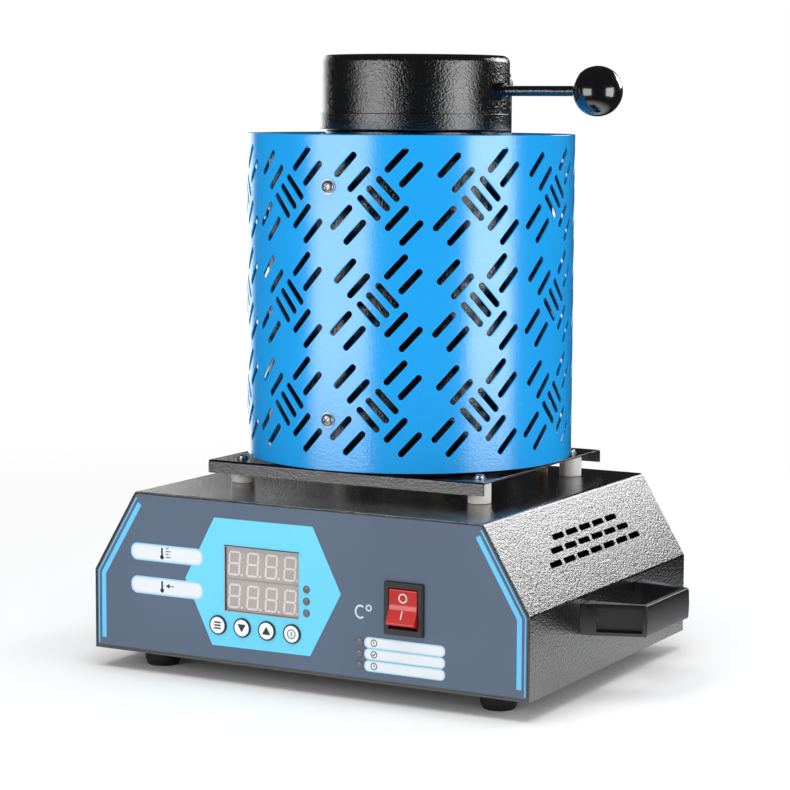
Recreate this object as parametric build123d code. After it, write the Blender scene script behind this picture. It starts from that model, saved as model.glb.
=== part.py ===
from build123d import *
import os
from math import atan2, cos, degrees, hypot, radians, sin

# Electric melting furnace for gold. Millimetres. X to the right, Y to the rear, Z up.
# The origin is on the table, under the middle of the whole object.

os.makedirs("parts", exist_ok=True)

# ---- driving dimensions: base ----
sheet = 1.2                 # steel sheet of the base, the deck plate and the lid
foot_height = 12.0
foot_radius = 11.0
foot_x = 116.0
foot_y = 87.0
body_width = 296.0
body_depth = 227.0
deck_width = 236.0          # flat top between the two sloping sides
side_height = 48.8          # upright part of the sides
body_height = 99.2
shell_lip = 14.0            # folded in under each side
body_y = -1.77              # middle of the base, front to rear

# ---- driving dimensions: fasteners (pan head: head radius, head height, shank radius) ----
m3_pan = (2.8, 2.0, 1.5)
m4_pan = (3.8, 2.4, 2.0)
m3_nut = (5.5, 2.4, 1.55)       # across flats, height, hole radius
m4_nut = (7.0, 3.2, 2.05)
washer_m3 = (3.7, 1.6, 0.5)     # outer radius, hole radius, thickness
washer_m4 = (4.5, 2.1, 0.6)
screw_fit = 0.2                 # hole over screw, on the radius
m3_hole = m3_pan[2] + screw_fit
m4_hole = m4_pan[2] + screw_fit

# ---- driving dimensions: drum on its raised plate ----
standoff_height = 13.6
standoff_radius = 7.0
standoff_x = 82.4
standoff_front = -47.4
standoff_rear = 80.9
plate_width = 190.6
plate_x = -1.9               # middle of the plate, a little to the left
plate_front = -64.1
plate_rear = 102.6
plate_lip = 8.0
drum_y = body_y + 17.8
drum_radius = 101.5
drum_gap = 2.8              # between the raised plate and the perforated cover
drum_height = 198.4
drum_sheet = 1.0
seam_thick = 1.0            # strip over the cover's joint at the rear
seam_width = 14.0
drum_top_hole = 55.0
drum_top_rim = 8.0          # depth of the drum top's rim inside the cover
cover_screw_rise = (30.4, 168.0)    # over the cover's lower edge
cover_screw_sides = (-1, 1)         # front and rear of the drum
casing_radius = 88.0
casing_drop = 12.0          # the inner casing ends this far under the cover's top

# ---- driving dimensions: slots of the cover ----
slot_length = 19.0
slot_width = 3.9
slot_turn = 47.0            # degrees from level
slot_pitch_angle = 35.0     # ten groups and a plain strip at the rear seam
slot_groups = 10
slot_row_pitch = 62.2
slot_rows = 3
slot_pair_step = 8.5        # from one slot of a pair to the other, across and down
slot_pairs = [(-16.0, 15.2), (15.0, 18.2), (-18.5, -15.7), (15.3, -15.7)]
slot_triple_step = 5.6

# ---- driving dimensions: lid ----
lid_x = 3.0
lid_radius = 58.1
lid_band_radius = 59.0
lid_band_height = 9.9
lid_height = 45.3
lid_gap = 2.5               # between the drum's top and the lid's band
lid_round = 4.5
plug_radius = 27.5
plug_depth = 6.0
rod_radius = 3.1
rod_drop = 21.6             # rod's axis under the lid's top
ball_radius = 15.0
ball_x = 125.8
hinge_back = 71.5           # hinge pin behind the lid's axis
hinge_drop = 16.0           # hinge pin under the lid's top
hinge_pin_radius = 2.5
hinge_ear_x = 26.0          # inner faces of the fixed ears from the lid's middle
hinge_play = 0.05
hinge_sheet = 1.5
hinge_screw_x = 18.0        # the bracket's two screws from the lid's middle
ear_round = 8.0             # fixed ear, about the pin
leaf_round = 6.8            # moving ear, about the pin
rod_nut_size = (10.0, 3.6)  # across flats, height

# ---- driving dimensions: hot core ----
mouth_radius = 53.0         # outer radius of the ceramic ring round the mouth
mouth_gap = 0.5             # between that ring and the lid
casing_lid_hole = 50.0
chamber_inner = 31.0
chamber_outer = 36.5
crucible_radius = 27.5
crucible_bore = 21.0
crucible_height = 132.0
crucible_floor = 10.0
wire_radius = 1.2
wire_pitch = 8.5
wire_turns = 15
probe_radius = 2.0
probe_turn = 140.0          # degrees round from the front
probe_gap = 7               # the turn of wire that it passes

# ---- driving dimensions: front panel, x from the middle, z from the base's lower edge ----
display_box = (-54.1, -2.3, 31.9, 71.5)
button_xs = {"menu": -58.3, "down": -41.3, "up": -24.1, "power": -6.8}
button_z = 23.0
button_radius = 5.9
button_travel = 0.5
button_proud = 1.2
control_lamps = [(2.9, 50.4), (2.9, 43.3), (2.9, 36.3)]
status_lamps = [(38.6, 23.5), (38.6, 16.4), (38.6, 9.5)]
lamp_radius = 2.4
lamp_proud = 0.9
switch_x = 68.2
switch_z = 45.5
bezel_width = 25.8
bezel_height = 31.3
bezel_proud = 2.0
rocker_width = 18.3
rocker_opening = (18.8, 23.5)
rocker_tilt = 12.0
rocker_pivot = 3.0          # behind the panel's face

# ---- driving dimensions: handles ----
handle_reach = 36.5
handle_root = 44.4          # outer face of each arm at the wall, from the middle
handle_grip = 32.6          # the same at the grip
handle_low = 26.0           # above the base's lower edge
handle_high = 44.8
handle_wall = 4.4
recess_x = 21.3             # hollow on the outside of each arm, its middle from the wall
recess_length = 27.0
recess_depth = 4.5
recess_rim = 2.2

# ---- driving dimensions: vents of the sloping sides ----
vent_rows = [(23.2, 7), (30.8, 6), (38.4, 5)]   # height up the slope, slots in the row
vent_pitch = 19.0
vent_length = 15.3
vent_width = 3.3

# ---- driving dimensions: rear panel ----
inlet_x = -70.0
inlet_z = 42.0
inlet_cut = (27.6, 20.2)
inlet_flange = (50.0, 24.0)
inlet_screw_x = 20.0
rear_vents = 9
rear_vent_x = 8.0
rear_vent_z = 42.0
rear_vent_pitch = 8.0
rear_vent_length = 26.0

# ---- heights and places worked out from them ----
floor_z = foot_height
shell_z = floor_z + sheet
shoulder_z = floor_z + side_height
deck_z = floor_z + body_height
plate_z = deck_z + standoff_height + sheet
drum_z = plate_z + drum_gap
drum_top = drum_z + drum_height
casing_top = drum_top - casing_drop
cover_screw_zs = [drum_z + rise for rise in cover_screw_rise]
lid_z = drum_top + lid_gap
lid_top = lid_z + lid_height
rod_z = lid_top - rod_drop
pin_z = lid_top - hinge_drop
pin_y = drum_y + hinge_back
front_y = body_y - body_depth / 2
rear_y = body_y + body_depth / 2
overlay_thick = 0.4
panel_y = front_y + overlay_thick
mouth_top = lid_z - mouth_gap
chamber_low = plate_z + 39.0
crucible_z = chamber_low + 14.0
wire_low = chamber_low + 9.5
probe_z = wire_low + wire_pitch * (probe_gap + 0.5 - (180 - probe_turn) / 360)
lead_hole = 4.2             # for the element leads' bushes
lead_bore = 2.6
probe_lead_hole = 2.7       # for the thermocouple lead's bushes

low_end = (Align.CENTER, Align.CENTER, Align.MIN)


def keep(node, pieces):
    """Writes one node: a single piece, or a list of separate solids."""
    shape = Compound(children=list(pieces)) if isinstance(pieces, (list, tuple)) else pieces
    export_step(shape, f"parts/{node}.step")


def tube(outer, inner, low, high, x=0.0, y=None):
    """Upright tube on the drum's axis, or on the axis given."""
    middle = drum_y if y is None else y
    ring = Cylinder(outer, high - low) - Cylinder(inner, high - low + 2)
    return Pos(x, middle, (low + high) / 2) * ring


def disc(radius, low, high, x=0.0, y=None):
    """Upright cylinder on the drum's axis, or on the axis given."""
    middle = drum_y if y is None else y
    return Pos(x, middle, (low + high) / 2) * Cylinder(radius, high - low)


def along_y(radius, start, end, x, z):
    """Cylinder along Y between two depths."""
    return Pos(x, (start + end) / 2, z) * Rot(90, 0, 0) * Cylinder(radius, abs(end - start))


def along_x(radius, start, end, y, z):
    """Cylinder along X between two places."""
    return Pos((start + end) / 2, y, z) * Rot(0, 90, 0) * Cylinder(radius, abs(end - start))


def block(low, high):
    """Box between two opposite corners."""
    size = [b - a for a, b in zip(low, high)]
    middle = [(a + b) / 2 for a, b in zip(low, high)]
    return Pos(*middle) * Box(*size)


def pan_screw(head_radius, head_height, shank_radius, shank_length):
    """Pan-head screw with a cross recess, head up, the seat of its head at the origin."""
    head = Pos(0, 0, head_height / 2) * Cylinder(head_radius, head_height)
    head = fillet(head.edges().group_by(Axis.Z)[-1], head_height * 0.45)
    slot = Box(head_radius * 1.1, head_radius * 0.24, head_height)
    cross = slot + Rot(0, 0, 90) * slot
    shank = Pos(0, 0, -shank_length / 2) * Cylinder(shank_radius, shank_length)
    return head - Pos(0, 0, head_height) * cross + shank


def hex_nut(across, height, hole):
    """Nut standing on the origin."""
    body = extrude(RegularPolygon(across / 2, 6, major_radius=False), height)
    return body - Pos(0, 0, height / 2) * Cylinder(hole, height * 2)


def corner_points(x, y):
    """The four places of a mirrored pair of rows."""
    return [(sx * x, sy * y) for sx in (-1, 1) for sy in (-1, 1)]


def body_outline(inset):
    """Face of the base's cross-section in the XZ plane, drawn in by inset."""
    half = body_width / 2
    deck = deck_width / 2
    points = [(-half, 0), (-half, side_height), (-deck, body_height), (deck, body_height),
              (half, side_height), (half, 0)]
    face = make_face(Polyline(*points, close=True))
    rounded = fillet([v for v in face.vertices() if v.Y > 1], 3.0)
    return offset(rounded, -inset) if inset else rounded


def upright_sheet(face, front, thick):
    """Turns a face drawn in the XZ plane into a sheet with its front at that depth."""
    return Pos(0, front + thick, floor_z) * Rot(90, 0, 0) * extrude(face, thick)


def slope_plane(side):
    """Plane on a sloping side: its x runs to the rear, its y up the slope."""
    run = (body_width - deck_width) / 2
    rise = body_height - side_height
    length = hypot(run, rise)
    normal = (side * rise / length, 0, run / length)
    return Plane(origin=(side * body_width / 2, body_y, shoulder_z), x_dir=(0, side, 0), z_dir=normal)


def vent_tools(side):
    """Cutting tools for the vent slots of one sloping side."""
    plane = slope_plane(side)
    slot = extrude(RectangleRounded(vent_length, vent_width, 1.0), 4.0, both=True)
    middle = 2.4 * side
    tools = []
    for height, count in vent_rows:
        for i in range(count):
            place = middle + (i - (count - 1) / 2) * vent_pitch
            tools.append(plane * Pos(place, height, 0) * slot)
    return tools


def base_shell():
    """Folded sheet: two sides, two slopes and the deck, with inward lips at the bottom."""
    opening = body_outline(sheet) + Pos(0, 1) * Rectangle(body_width - 2 * sheet, 8)
    section = body_outline(0) - opening
    section -= Pos(0, -sheet) * Rectangle(body_width + 2, 4 * sheet)
    shell = Pos(0, body_y, floor_z) * Rot(90, 0, 0) * extrude(section, body_depth / 2, both=True)
    for side in (-1, 1):
        lip_out = body_width / 2 - sheet
        low = (min(side * lip_out, side * (lip_out - shell_lip)), front_y + 4, shell_z)
        high = (max(side * lip_out, side * (lip_out - shell_lip)), rear_y - 4, shell_z + sheet)
        shell += block(low, high)
        shell -= vent_tools(side)
    for x, y in standoff_places():
        shell -= disc(m3_hole, deck_z - 3, deck_z + 1, x, y)
    for x, y in lead_places():
        shell -= disc(lead_hole, deck_z - 3, deck_z + 1, x, y)
    shell -= disc(probe_lead_hole, deck_z - 3, deck_z + 1, *probe_lead_place())
    for x, y in tray_screw_places():
        shell -= disc(m3_hole, floor_z, shell_z + 3, x, y)
    for side in (-1, 1):
        for y in handle_screw_ys():
            shell -= along_x(m4_hole, side * (body_width / 2 - 3), side * (body_width / 2 + 1),
                             y, handle_mid())
    return shell


def standoff_places():
    return [(sx * standoff_x, body_y + y) for sx in (-1, 1) for y in (standoff_front, standoff_rear)]


def lead_places():
    """Where the two element leads pass down into the base."""
    return [(-14.0, drum_y + 62.0), (14.0, drum_y + 62.0)]


def tray_screw_places():
    return [(x, body_y + y) for x, y in corner_points(body_width / 2 - sheet - 7, 60.0)]


def handle_screw_ys():
    return [body_y - handle_root + 6.5, body_y + handle_root - 6.5]


def handle_mid():
    return floor_z + (handle_low + handle_high) / 2


def base_tray():
    """Floor sheet with low flanges folded up behind the front and rear panels."""
    tray = block((-body_width / 2, front_y, floor_z), (body_width / 2, rear_y, shell_z))
    inner = body_width / 2 - sheet - 16
    for y in (front_y + 2.0, rear_y - 2.0 - sheet):
        tray += block((-inner, y, shell_z), (inner, y + sheet, shell_z + 5))
    for x, y in corner_points(foot_x, foot_y):
        tray -= disc(m4_hole, floor_z - 1, shell_z + 1, x, body_y + y)
    for x, y in tray_screw_places():
        tray -= disc(m3_hole, floor_z - 1, shell_z + 1, x, y)
    return tray


def panel_cuts():
    """Openings of the front panel: display, keys, lamps and switch."""
    left, right, low, high = display_box
    cuts = [Pos((left + right) / 2, (low + high) / 2) * Rectangle(right - left, high - low)]
    cuts += [Pos(x, button_z) * Circle(button_radius + 0.3) for x in button_xs.values()]
    cuts += [Pos(x, z) * Circle(lamp_radius + 0.1) for x, z in control_lamps + status_lamps]
    cuts += [Pos(switch_x, switch_z) * Rectangle(bezel_width - 2.6, bezel_height - 2.6)]
    return cuts


def front_face(inset, low):
    face = body_outline(inset) - panel_cuts()
    return face - Pos(0, low / 2 - 5) * Rectangle(body_width, low + 10)


def front_panel():
    return upright_sheet(front_face(sheet + 0.1, sheet), panel_y, sheet)


def front_overlay():
    return upright_sheet(front_face(sheet + 0.4, 2.3), front_y, overlay_thick)


def rear_panel():
    face = body_outline(sheet + 0.1)
    face -= Rectangle(body_width, 2 * sheet)
    face -= Pos(inlet_x, inlet_z) * Rectangle(*inlet_cut)
    for side in (-1, 1):
        face -= Pos(inlet_x + side * inlet_screw_x, inlet_z) * Circle(m3_hole)
    for i in range(rear_vents):
        x = rear_vent_x + (i - (rear_vents - 1) / 2) * rear_vent_pitch
        face -= Pos(x, rear_vent_z) * SlotOverall(rear_vent_length, vent_width, rotation=90)
    return upright_sheet(face, rear_y - sheet, sheet)


def foot(x, y):
    profile = [(0, foot_height), (foot_radius, foot_height), (foot_radius, 4.0),
               (foot_radius - 1.6, 0), (0, 0)]
    face = make_face(Polyline(*profile, close=True))
    body = revolve(Plane.XZ * face, Axis.Z)
    body -= Pos(0, 0, 2.5) * Cylinder(4.2, 5.01)
    body -= Pos(0, 0, foot_height / 2) * Cylinder(2.2, foot_height + 1)
    return Pos(x, body_y + y, 0) * body


def lean(opposite, adjacent):
    """Slant of a line in degrees."""
    return degrees(atan2(opposite, adjacent))


def handle(side):
    """Moulded bow handle, hollowed on the outside of its two splayed arms."""
    wall_x = body_width / 2 + 0.02
    out_x = body_width / 2 + handle_reach
    root, grip, wall = handle_root, handle_grip, handle_wall
    outline = [(wall_x, -root - 2), (wall_x + 3, -root), (out_x, -grip), (out_x, grip),
               (wall_x + 3, root), (wall_x, root + 2), (wall_x, root - 12),
               (wall_x + 5, root - 12), (out_x - wall, grip - wall),
               (out_x - wall, wall - grip), (wall_x + 5, 12 - root), (wall_x, 12 - root)]
    face = make_face(Polyline(*outline, close=True))
    face = fillet([v for v in face.vertices() if v.X > out_x - wall - 1], 1.2)
    tall = handle_high - handle_low
    body = extrude(face, tall)
    body = fillet(body.faces().sort_by(Axis.X)[-1].edges().filter_by(Axis.Y), 1.6)
    slant = Rot(0, 0, lean(handle_root - handle_grip, handle_reach - 3))
    recess = Pos(0, 0, tall / 2) * Box(recess_length, 2 * recess_depth, tall - 2 * recess_rim)
    arm_y = root - (recess_x - 3) * (root - grip) / (handle_reach - 3)
    place = Pos(wall_x + recess_x, -arm_y, 0) * slant * recess
    for end in (-1, 1):
        body -= place if end < 0 else mirror(place, about=Plane.XZ)
        hole = along_x(2.0, wall_x - 1, wall_x + 9, end * (root - 6.5), tall / 2)
        body -= hole
    body = Pos(0, body_y, floor_z + handle_low) * body
    return body if side > 0 else mirror(body, about=Plane.YZ)


def drum_plate():
    """Raised sheet under the drum with lips folded down at its front and rear."""
    low = plate_z - plate_lip
    front, rear = body_y + plate_front, body_y + plate_rear
    half = plate_width / 2
    plate = block((plate_x - half, front, low), (plate_x + half, rear, plate_z))
    plate = fillet(plate.edges().filter_by(Axis.X).group_by(Axis.Z)[-1], 1.6)
    plate -= block((plate_x - half - 1, front + sheet, low - 1),
                   (plate_x + half + 1, rear - sheet, plate_z - sheet))
    for x, y in standoff_places():
        plate -= disc(m3_hole, plate_z - 3, plate_z + 1, x, y)
    for x, y in lead_places():
        plate -= disc(lead_hole, plate_z - 3, plate_z + 1, x, y)
    plate -= disc(probe_lead_hole, plate_z - 3, plate_z + 1, *probe_lead_place())
    for x, y in casing_screw_places():
        plate -= disc(m4_hole, plate_z - 3, plate_z + 1, x, y)
    return plate


def standoff(x, y):
    body = tube(standoff_radius, 2.2, deck_z, deck_z + standoff_height, x, y)
    rim = [e for e in body.edges().filter_by(GeomType.CIRCLE) if e.radius > standoff_radius - 0.1]
    return chamfer(rim, 0.5)


def casing_screw_places():
    return [(x, drum_y + y) for x, y in corner_points(50.0, 50.0)]


def slot_tools():
    """One cutting tool for every slot of the perforated cover."""
    spots = []
    half = slot_pair_step / 2
    for x, z in slot_pairs:
        spots += [(x - half, z + half, slot_turn), (x + half, z - half, slot_turn)]
    spots += [(i * slot_triple_step, i * slot_triple_step, -slot_turn) for i in (-1, 0, 1)]
    shapes = {}
    for turn in (slot_turn, -slot_turn):
        flat = extrude(SlotOverall(slot_length, slot_width, rotation=turn), 4.0, both=True)
        shapes[turn] = Pos(0, -drum_radius, 0) * Rot(90, 0, 0) * flat
    tools = []
    for group in range(slot_groups):
        angle = (group - (slot_groups - 1) / 2) * slot_pitch_angle
        for row in range(slot_rows):
            middle = drum_top - casing_drop - 24.7 - row * slot_row_pitch
            for x, z, turn in spots:
                swing = angle + degrees(x / drum_radius)
                tools.append(Pos(0, drum_y, middle + z) * Rot(0, 0, swing) * shapes[turn])
    return tools


def outer_cover():
    """Perforated blue cover: one rolled sheet."""
    cover = tube(drum_radius, drum_radius - drum_sheet, drum_z, drum_top)
    strip = tube(drum_radius + seam_thick, drum_radius - drum_sheet, drum_z + 1, drum_top - 1)
    reach = drum_y + drum_radius
    cover += strip & block((-seam_width / 2, reach - 10, drum_z), (seam_width / 2, reach + 10, drum_top))
    tools = slot_tools()
    for side in cover_screw_sides:
        for z in cover_screw_zs:
            tools.append(along_y(2.2, drum_y + side * 96, drum_y + side * 106, 0, z))
    return cover - tools


def inner_casing():
    """Spun steel cup round the insulation."""
    cup = tube(casing_radius, casing_radius - 1.0, plate_z, casing_top)
    cup += disc(casing_radius - 0.5, plate_z, plate_z + 1.0)
    for side in cover_screw_sides:
        for z in cover_screw_zs:
            cup -= along_y(2.2, drum_y + side * 80, drum_y + side * 95, 0, z)
    for x, y in lead_places():
        cup -= disc(lead_hole, plate_z - 1, plate_z + 3, x, y)
    for x, y in casing_screw_places():
        cup -= disc(m4_hole, plate_z - 1, plate_z + 3, x, y)
    return cup - probe_hole(probe_radius + 0.3, casing_radius - 5, casing_radius + 5)


def nut_pockets():
    """Room in the insulation for the nuts and screw ends of the cover."""
    return [along_y(4.6, drum_y + side * 78, drum_y + side * 95, 0, z)
            for side in cover_screw_sides for z in cover_screw_zs]


def insulation_base():
    body = disc(casing_radius - 1.2, plate_z + 1.2, chamber_low) - nut_pockets()
    for x, y in lead_places():
        body -= disc(lead_bore, plate_z, chamber_low + 1, x, y)
        body -= disc(6.3, plate_z, plate_z + 3.4, x, y)
    for x, y in casing_screw_places():
        body -= disc(5.5, plate_z, plate_z + 9, x, y)
    return body


def insulation_sleeve():
    body = tube(casing_radius - 1.2, chamber_outer + 4.0, chamber_low, casing_top - 1.2) - nut_pockets()
    for x, y in lead_places():
        body -= disc(lead_bore, chamber_low - 1, chamber_low + 12, x, y)
        low = (x - 2.6, drum_y + chamber_outer, chamber_low + 7)
        body -= block(low, (x + 2.6, y, chamber_low + 12))
    return body - probe_hole(probe_radius + 0.3, chamber_outer, casing_radius + 2)


def chamber():
    """Ceramic tube that holds the crucible; the heating wire is wound on it."""
    body = tube(chamber_outer, chamber_inner, chamber_low, casing_top)
    return body - probe_hole(probe_radius + 0.3, chamber_inner - 3, chamber_outer + 2)


def heating_element():
    """Resistance wire wound round the ceramic tube, ends led out to the rear."""
    radius = chamber_outer + wire_radius + 0.1
    path = Helix(wire_pitch, wire_pitch * wire_turns, radius)
    start = Plane(origin=path @ 0, z_dir=path % 0)
    coil = sweep(start * Circle(wire_radius), path)
    return Pos(0, drum_y, wire_low) * Rot(0, 0, 90) * coil


def element_lead(x, y):
    """Ceramic-beaded lead from the element down into the base."""
    low = deck_z - 22
    bead = tube(2.4, 1.2, low, chamber_low + 9, x, y)
    core = disc(1.0, low - 8, chamber_low + 10, x, y)
    return bead, core


def lead_bush(x, y, z, thick, outer, inner):
    """Insulating bush where a lead passes a sheet."""
    body = tube(outer, inner, z - thick - 2, z + 2, x, y)
    return body + tube(outer + outer / 3, inner, z, z + 2, x, y)


def lead_bushes():
    bushes = []
    for x, y in lead_places():
        bushes.append(lead_bush(x, y, deck_z, sheet, 4.0, 2.6))
        bushes.append(lead_bush(x, y, plate_z + 1.0, sheet + 1.0, 4.0, 2.6))
    for z in (deck_z, plate_z):
        bushes.append(lead_bush(*probe_lead_place(), z, sheet, 2.6, 1.6))
    return bushes


def probe_hole(radius, start, end):
    """Cylinder on the thermocouple's line, from one distance off the drum's axis to another."""
    turn = Pos(0, drum_y, probe_z) * Rot(0, 0, probe_turn - 90)
    return turn * Pos((start + end) / 2, 0, 0) * Rot(0, 90, 0) * Cylinder(radius, end - start)


def probe_lead_place():
    """Where the thermocouple's lead runs down between the casing and the cover."""
    reach = casing_radius + 4.2
    return reach * sin(radians(probe_turn)), drum_y - reach * cos(radians(probe_turn))


def thermocouple():
    """Sheathed probe from outside the casing into the hot chamber, between two turns of wire."""
    stem = probe_hole(probe_radius, chamber_inner - 1.0, casing_radius + 1.0)
    return stem + probe_hole(4.5, casing_radius + 0.3, casing_radius + 8.0)


def crucible():
    """Graphite cup with a straight bore, its outside a little tapered."""
    low = crucible_radius - 2.5
    tall = crucible_height
    bore = crucible_bore
    profile = [(0, 0), (low, 0), (crucible_radius, tall), (bore, tall), (bore, crucible_floor),
               (0, crucible_floor)]
    body = revolve(Plane.XZ * make_face(Polyline(*profile, close=True)), Axis.Z)
    return Pos(0, drum_y, crucible_z) * body


def mouth_ring():
    """Ceramic ring round the mouth, standing through the drum's top."""
    body = tube(mouth_radius, chamber_inner + 1.0, casing_top, mouth_top)
    rim = body.edges().filter_by(GeomType.CIRCLE).group_by(Axis.Z)[-1]
    return chamfer(rim, 1.0)


def drum_top_disc():
    top = tube(drum_radius - drum_sheet - 0.1, drum_top_hole, drum_top - drum_sheet, drum_top)
    rim = tube(drum_radius - drum_sheet - 0.1, drum_radius - 2 * drum_sheet - 0.1,
               drum_top - drum_top_rim, drum_top - 0.5)
    for x, y in hinge_screw_places():
        top -= disc(m3_hole, drum_top - 3, drum_top + 1, x, y)
    return top + rim


def hinge_screw_places():
    return [(lid_x + side * hinge_screw_x, pin_y + 0.5) for side in (-1, 1)]


def ear(x, radius, points):
    """Upright ear in the YZ plane: rounded about the hinge pin, with a foot outline."""
    outline = make_face(Polyline(*points, close=True)) + Pos(pin_y, pin_z) * Circle(radius)
    face = Plane(origin=(x, 0, 0), x_dir=(0, 1, 0), z_dir=(1, 0, 0)) * outline
    return extrude(face, hinge_sheet)


def hinge_bracket():
    """Fixed U-shaped bracket on the drum's top: foot plate and two ears."""
    wide = hinge_ear_x + hinge_sheet
    low, high = (lid_x - wide, pin_y - 10, drum_top), (lid_x + wide, pin_y + ear_round, drum_top + hinge_sheet)
    foot_plate = block(low, high)
    points = [(pin_y - 10, drum_top), (pin_y + ear_round, drum_top), (pin_y + ear_round, pin_z),
              (pin_y - ear_round, pin_z)]
    body = foot_plate
    body += ear(lid_x + hinge_ear_x, ear_round, points)
    body += ear(lid_x - wide, ear_round, points)
    body -= along_x(hinge_pin_radius, lid_x - 40, lid_x + 40, pin_y, pin_z)
    for x, y in hinge_screw_places():
        body -= disc(m3_hole, drum_top - 1, drum_top + 3, x, y)
    return body


def hinge_pin():
    """Pin with a head on one end and a nut on the other."""
    reach = hinge_ear_x + hinge_sheet
    pin = along_x(hinge_pin_radius, lid_x - reach - 0.1, lid_x + reach + 0.1, pin_y, pin_z)
    head = Pos(lid_x + reach, pin_y, pin_z) * Rot(0, 90, 0) * Cylinder(4.2, 3.0, align=low_end)
    head = fillet(head.edges().group_by(Axis.X)[-1], 1.3)
    nut = Pos(lid_x - reach, pin_y, pin_z) * Rot(0, -90, 0) * hex_nut(8.0, 3.4, 1.0)
    return pin + head + nut


def lid_leaf():
    """Moving half of the hinge: a curved strap on the lid's rear and two ears."""
    inside = hinge_ear_x - 1.0
    low, high = lid_top - 34.0, lid_top - 3.5
    strap = tube(lid_radius + 1.6, lid_radius + 0.1, low, high, lid_x)
    wedge = block((lid_x - inside, drum_y + 30, low - 1), (lid_x + inside, drum_y + 80, high + 1))
    body = strap & wedge
    near = drum_y + lid_radius - 8.5
    points = [(near, low), (pin_y - 2, pin_z - 6.5), (pin_y + 5, pin_z + 4), (near + 6, high), (near, high)]
    hollow = disc(lid_radius + 0.1, low - 5, high + 5, lid_x)
    for x in (lid_x + inside - hinge_sheet, lid_x - inside):
        body += ear(x, leaf_round, points) - hollow
    body -= along_x(hinge_pin_radius + hinge_play, lid_x - 40, lid_x + 40, pin_y, pin_z)
    return body


def lid_shell():
    """Deep-drawn cap of the lid with a rounded top edge."""
    low = lid_z + 0.8
    tall = lid_top - low
    cap = Pos(lid_x, drum_y, low + tall / 2) * Cylinder(lid_radius, tall)
    cap = fillet(cap.edges().filter_by(GeomType.CIRCLE).group_by(Axis.Z)[-1], lid_round)
    core = Cylinder(lid_radius - sheet, tall)
    core = fillet(core.edges().filter_by(GeomType.CIRCLE).group_by(Axis.Z)[-1], lid_round - sheet)
    cap -= Pos(lid_x, drum_y, low + tall / 2 - sheet) * core
    return cap - along_x(rod_radius + 0.1, lid_x + 50, lid_x + 60, drum_y, rod_z)


def lid_band():
    """Ring round the lid's lower edge with an inward lip under the insulation."""
    band = tube(lid_band_radius, lid_radius + 0.05, lid_z, lid_z + lid_band_height, lid_x)
    lip = tube(lid_radius + 0.1, 45.0, lid_z, lid_z + 0.75, lid_x)
    return band + lip


def lid_insulation():
    """Ceramic fibre filling, with a plug that enters the mouth."""
    fill = disc(lid_radius - sheet - 0.3, lid_z + 0.8, lid_top - sheet - 0.3, lid_x)
    fill = fillet(fill.edges().group_by(Axis.Z)[-1], lid_round)
    body = fill + disc(plug_radius, lid_z - plug_depth, lid_z + 1.0, lid_x)
    pocket = along_x(8.5, lid_x + lid_radius - 16, lid_x + lid_radius, drum_y, rod_z)
    return body - pocket


def lid_rod():
    inside = lid_x + lid_radius - 10
    return along_x(rod_radius, inside, ball_x - 4, drum_y, rod_z)


def rod_nut(x):
    return Pos(x, drum_y, rod_z) * Rot(0, 90, 0) * hex_nut(*rod_nut_size, rod_radius + 0.02)


def ball_knob():
    ball = Pos(ball_x, drum_y, rod_z) * Sphere(ball_radius)
    flat = ball_x - ball_radius
    ball -= block((flat - 2, drum_y - 9, rod_z - 9), (flat + 0.6, drum_y + 9, rod_z + 9))
    return ball - along_x(rod_radius + 0.02, flat - 1, ball_x - 3.9, drum_y, rod_z)


def key_cap(x):
    """Round key: its face stands proud of the panel, a flange holds it behind."""
    z = floor_z + button_z
    cap = along_y(button_radius, front_y - button_proud, panel_y + sheet + 1.0, x, z)
    cap = fillet(cap.edges().filter_by(GeomType.CIRCLE).group_by(Axis.Y)[0], 0.4)
    back = panel_y + sheet + 0.1
    return cap + along_y(button_radius + 1.4, back, back + 1.0, x, z)


def switch_frame():
    """Bezel and housing of the power switch, open at the front for the rocker."""
    z = floor_z + switch_z
    wide, tall = bezel_width / 2, bezel_height / 2
    face = front_y - bezel_proud
    bezel = block((switch_x - wide, face, z - tall), (switch_x + wide, front_y, z + tall))
    bezel = fillet(bezel.edges().filter_by(Axis.Y), 1.2)
    bezel = chamfer(bezel.faces().sort_by(Axis.Y)[0].edges(), 0.7)
    house = block((switch_x - wide + 1.5, front_y - 0.5, z - tall + 1.5),
                  (switch_x + wide - 1.5, front_y + 24, z + tall - 1.5))
    half_w, half_t = rocker_opening[0] / 2, rocker_opening[1] / 2
    hollow = block((switch_x - half_w, face - 1, z - half_t), (switch_x + half_w, front_y + 13, z + half_t))
    holes = along_x(1.32, switch_x - half_w - 1.4, switch_x + half_w + 1.4, front_y + rocker_pivot, z)
    return bezel + house - hollow - holes


def switch_rocker():
    """Rocker with a shallow V face, stored with its upper half pressed in."""
    half = rocker_width / 2
    profile = [(10.3, -7.5), (11.4, 0.0), (8.0, 3.2), (-8.0, 3.2), (-11.4, 0.0), (-10.3, -7.5), (0.0, -5.2)]
    face = make_face(Polyline(*[(y, z) for z, y in profile], close=True))
    body = extrude(Plane(origin=(-half, 0, 0), x_dir=(0, 1, 0), z_dir=(1, 0, 0)) * face, rocker_width)
    body = fillet(body.edges().filter_by(Axis.X).group_by(Axis.Y)[0], 0.6)
    body += Rot(0, 90, 0) * Cylinder(1.27, rocker_width + 2.0)
    turned = Rot(-rocker_tilt, 0, 0) * body
    return Pos(switch_x, front_y + rocker_pivot, floor_z + switch_z) * turned


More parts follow.
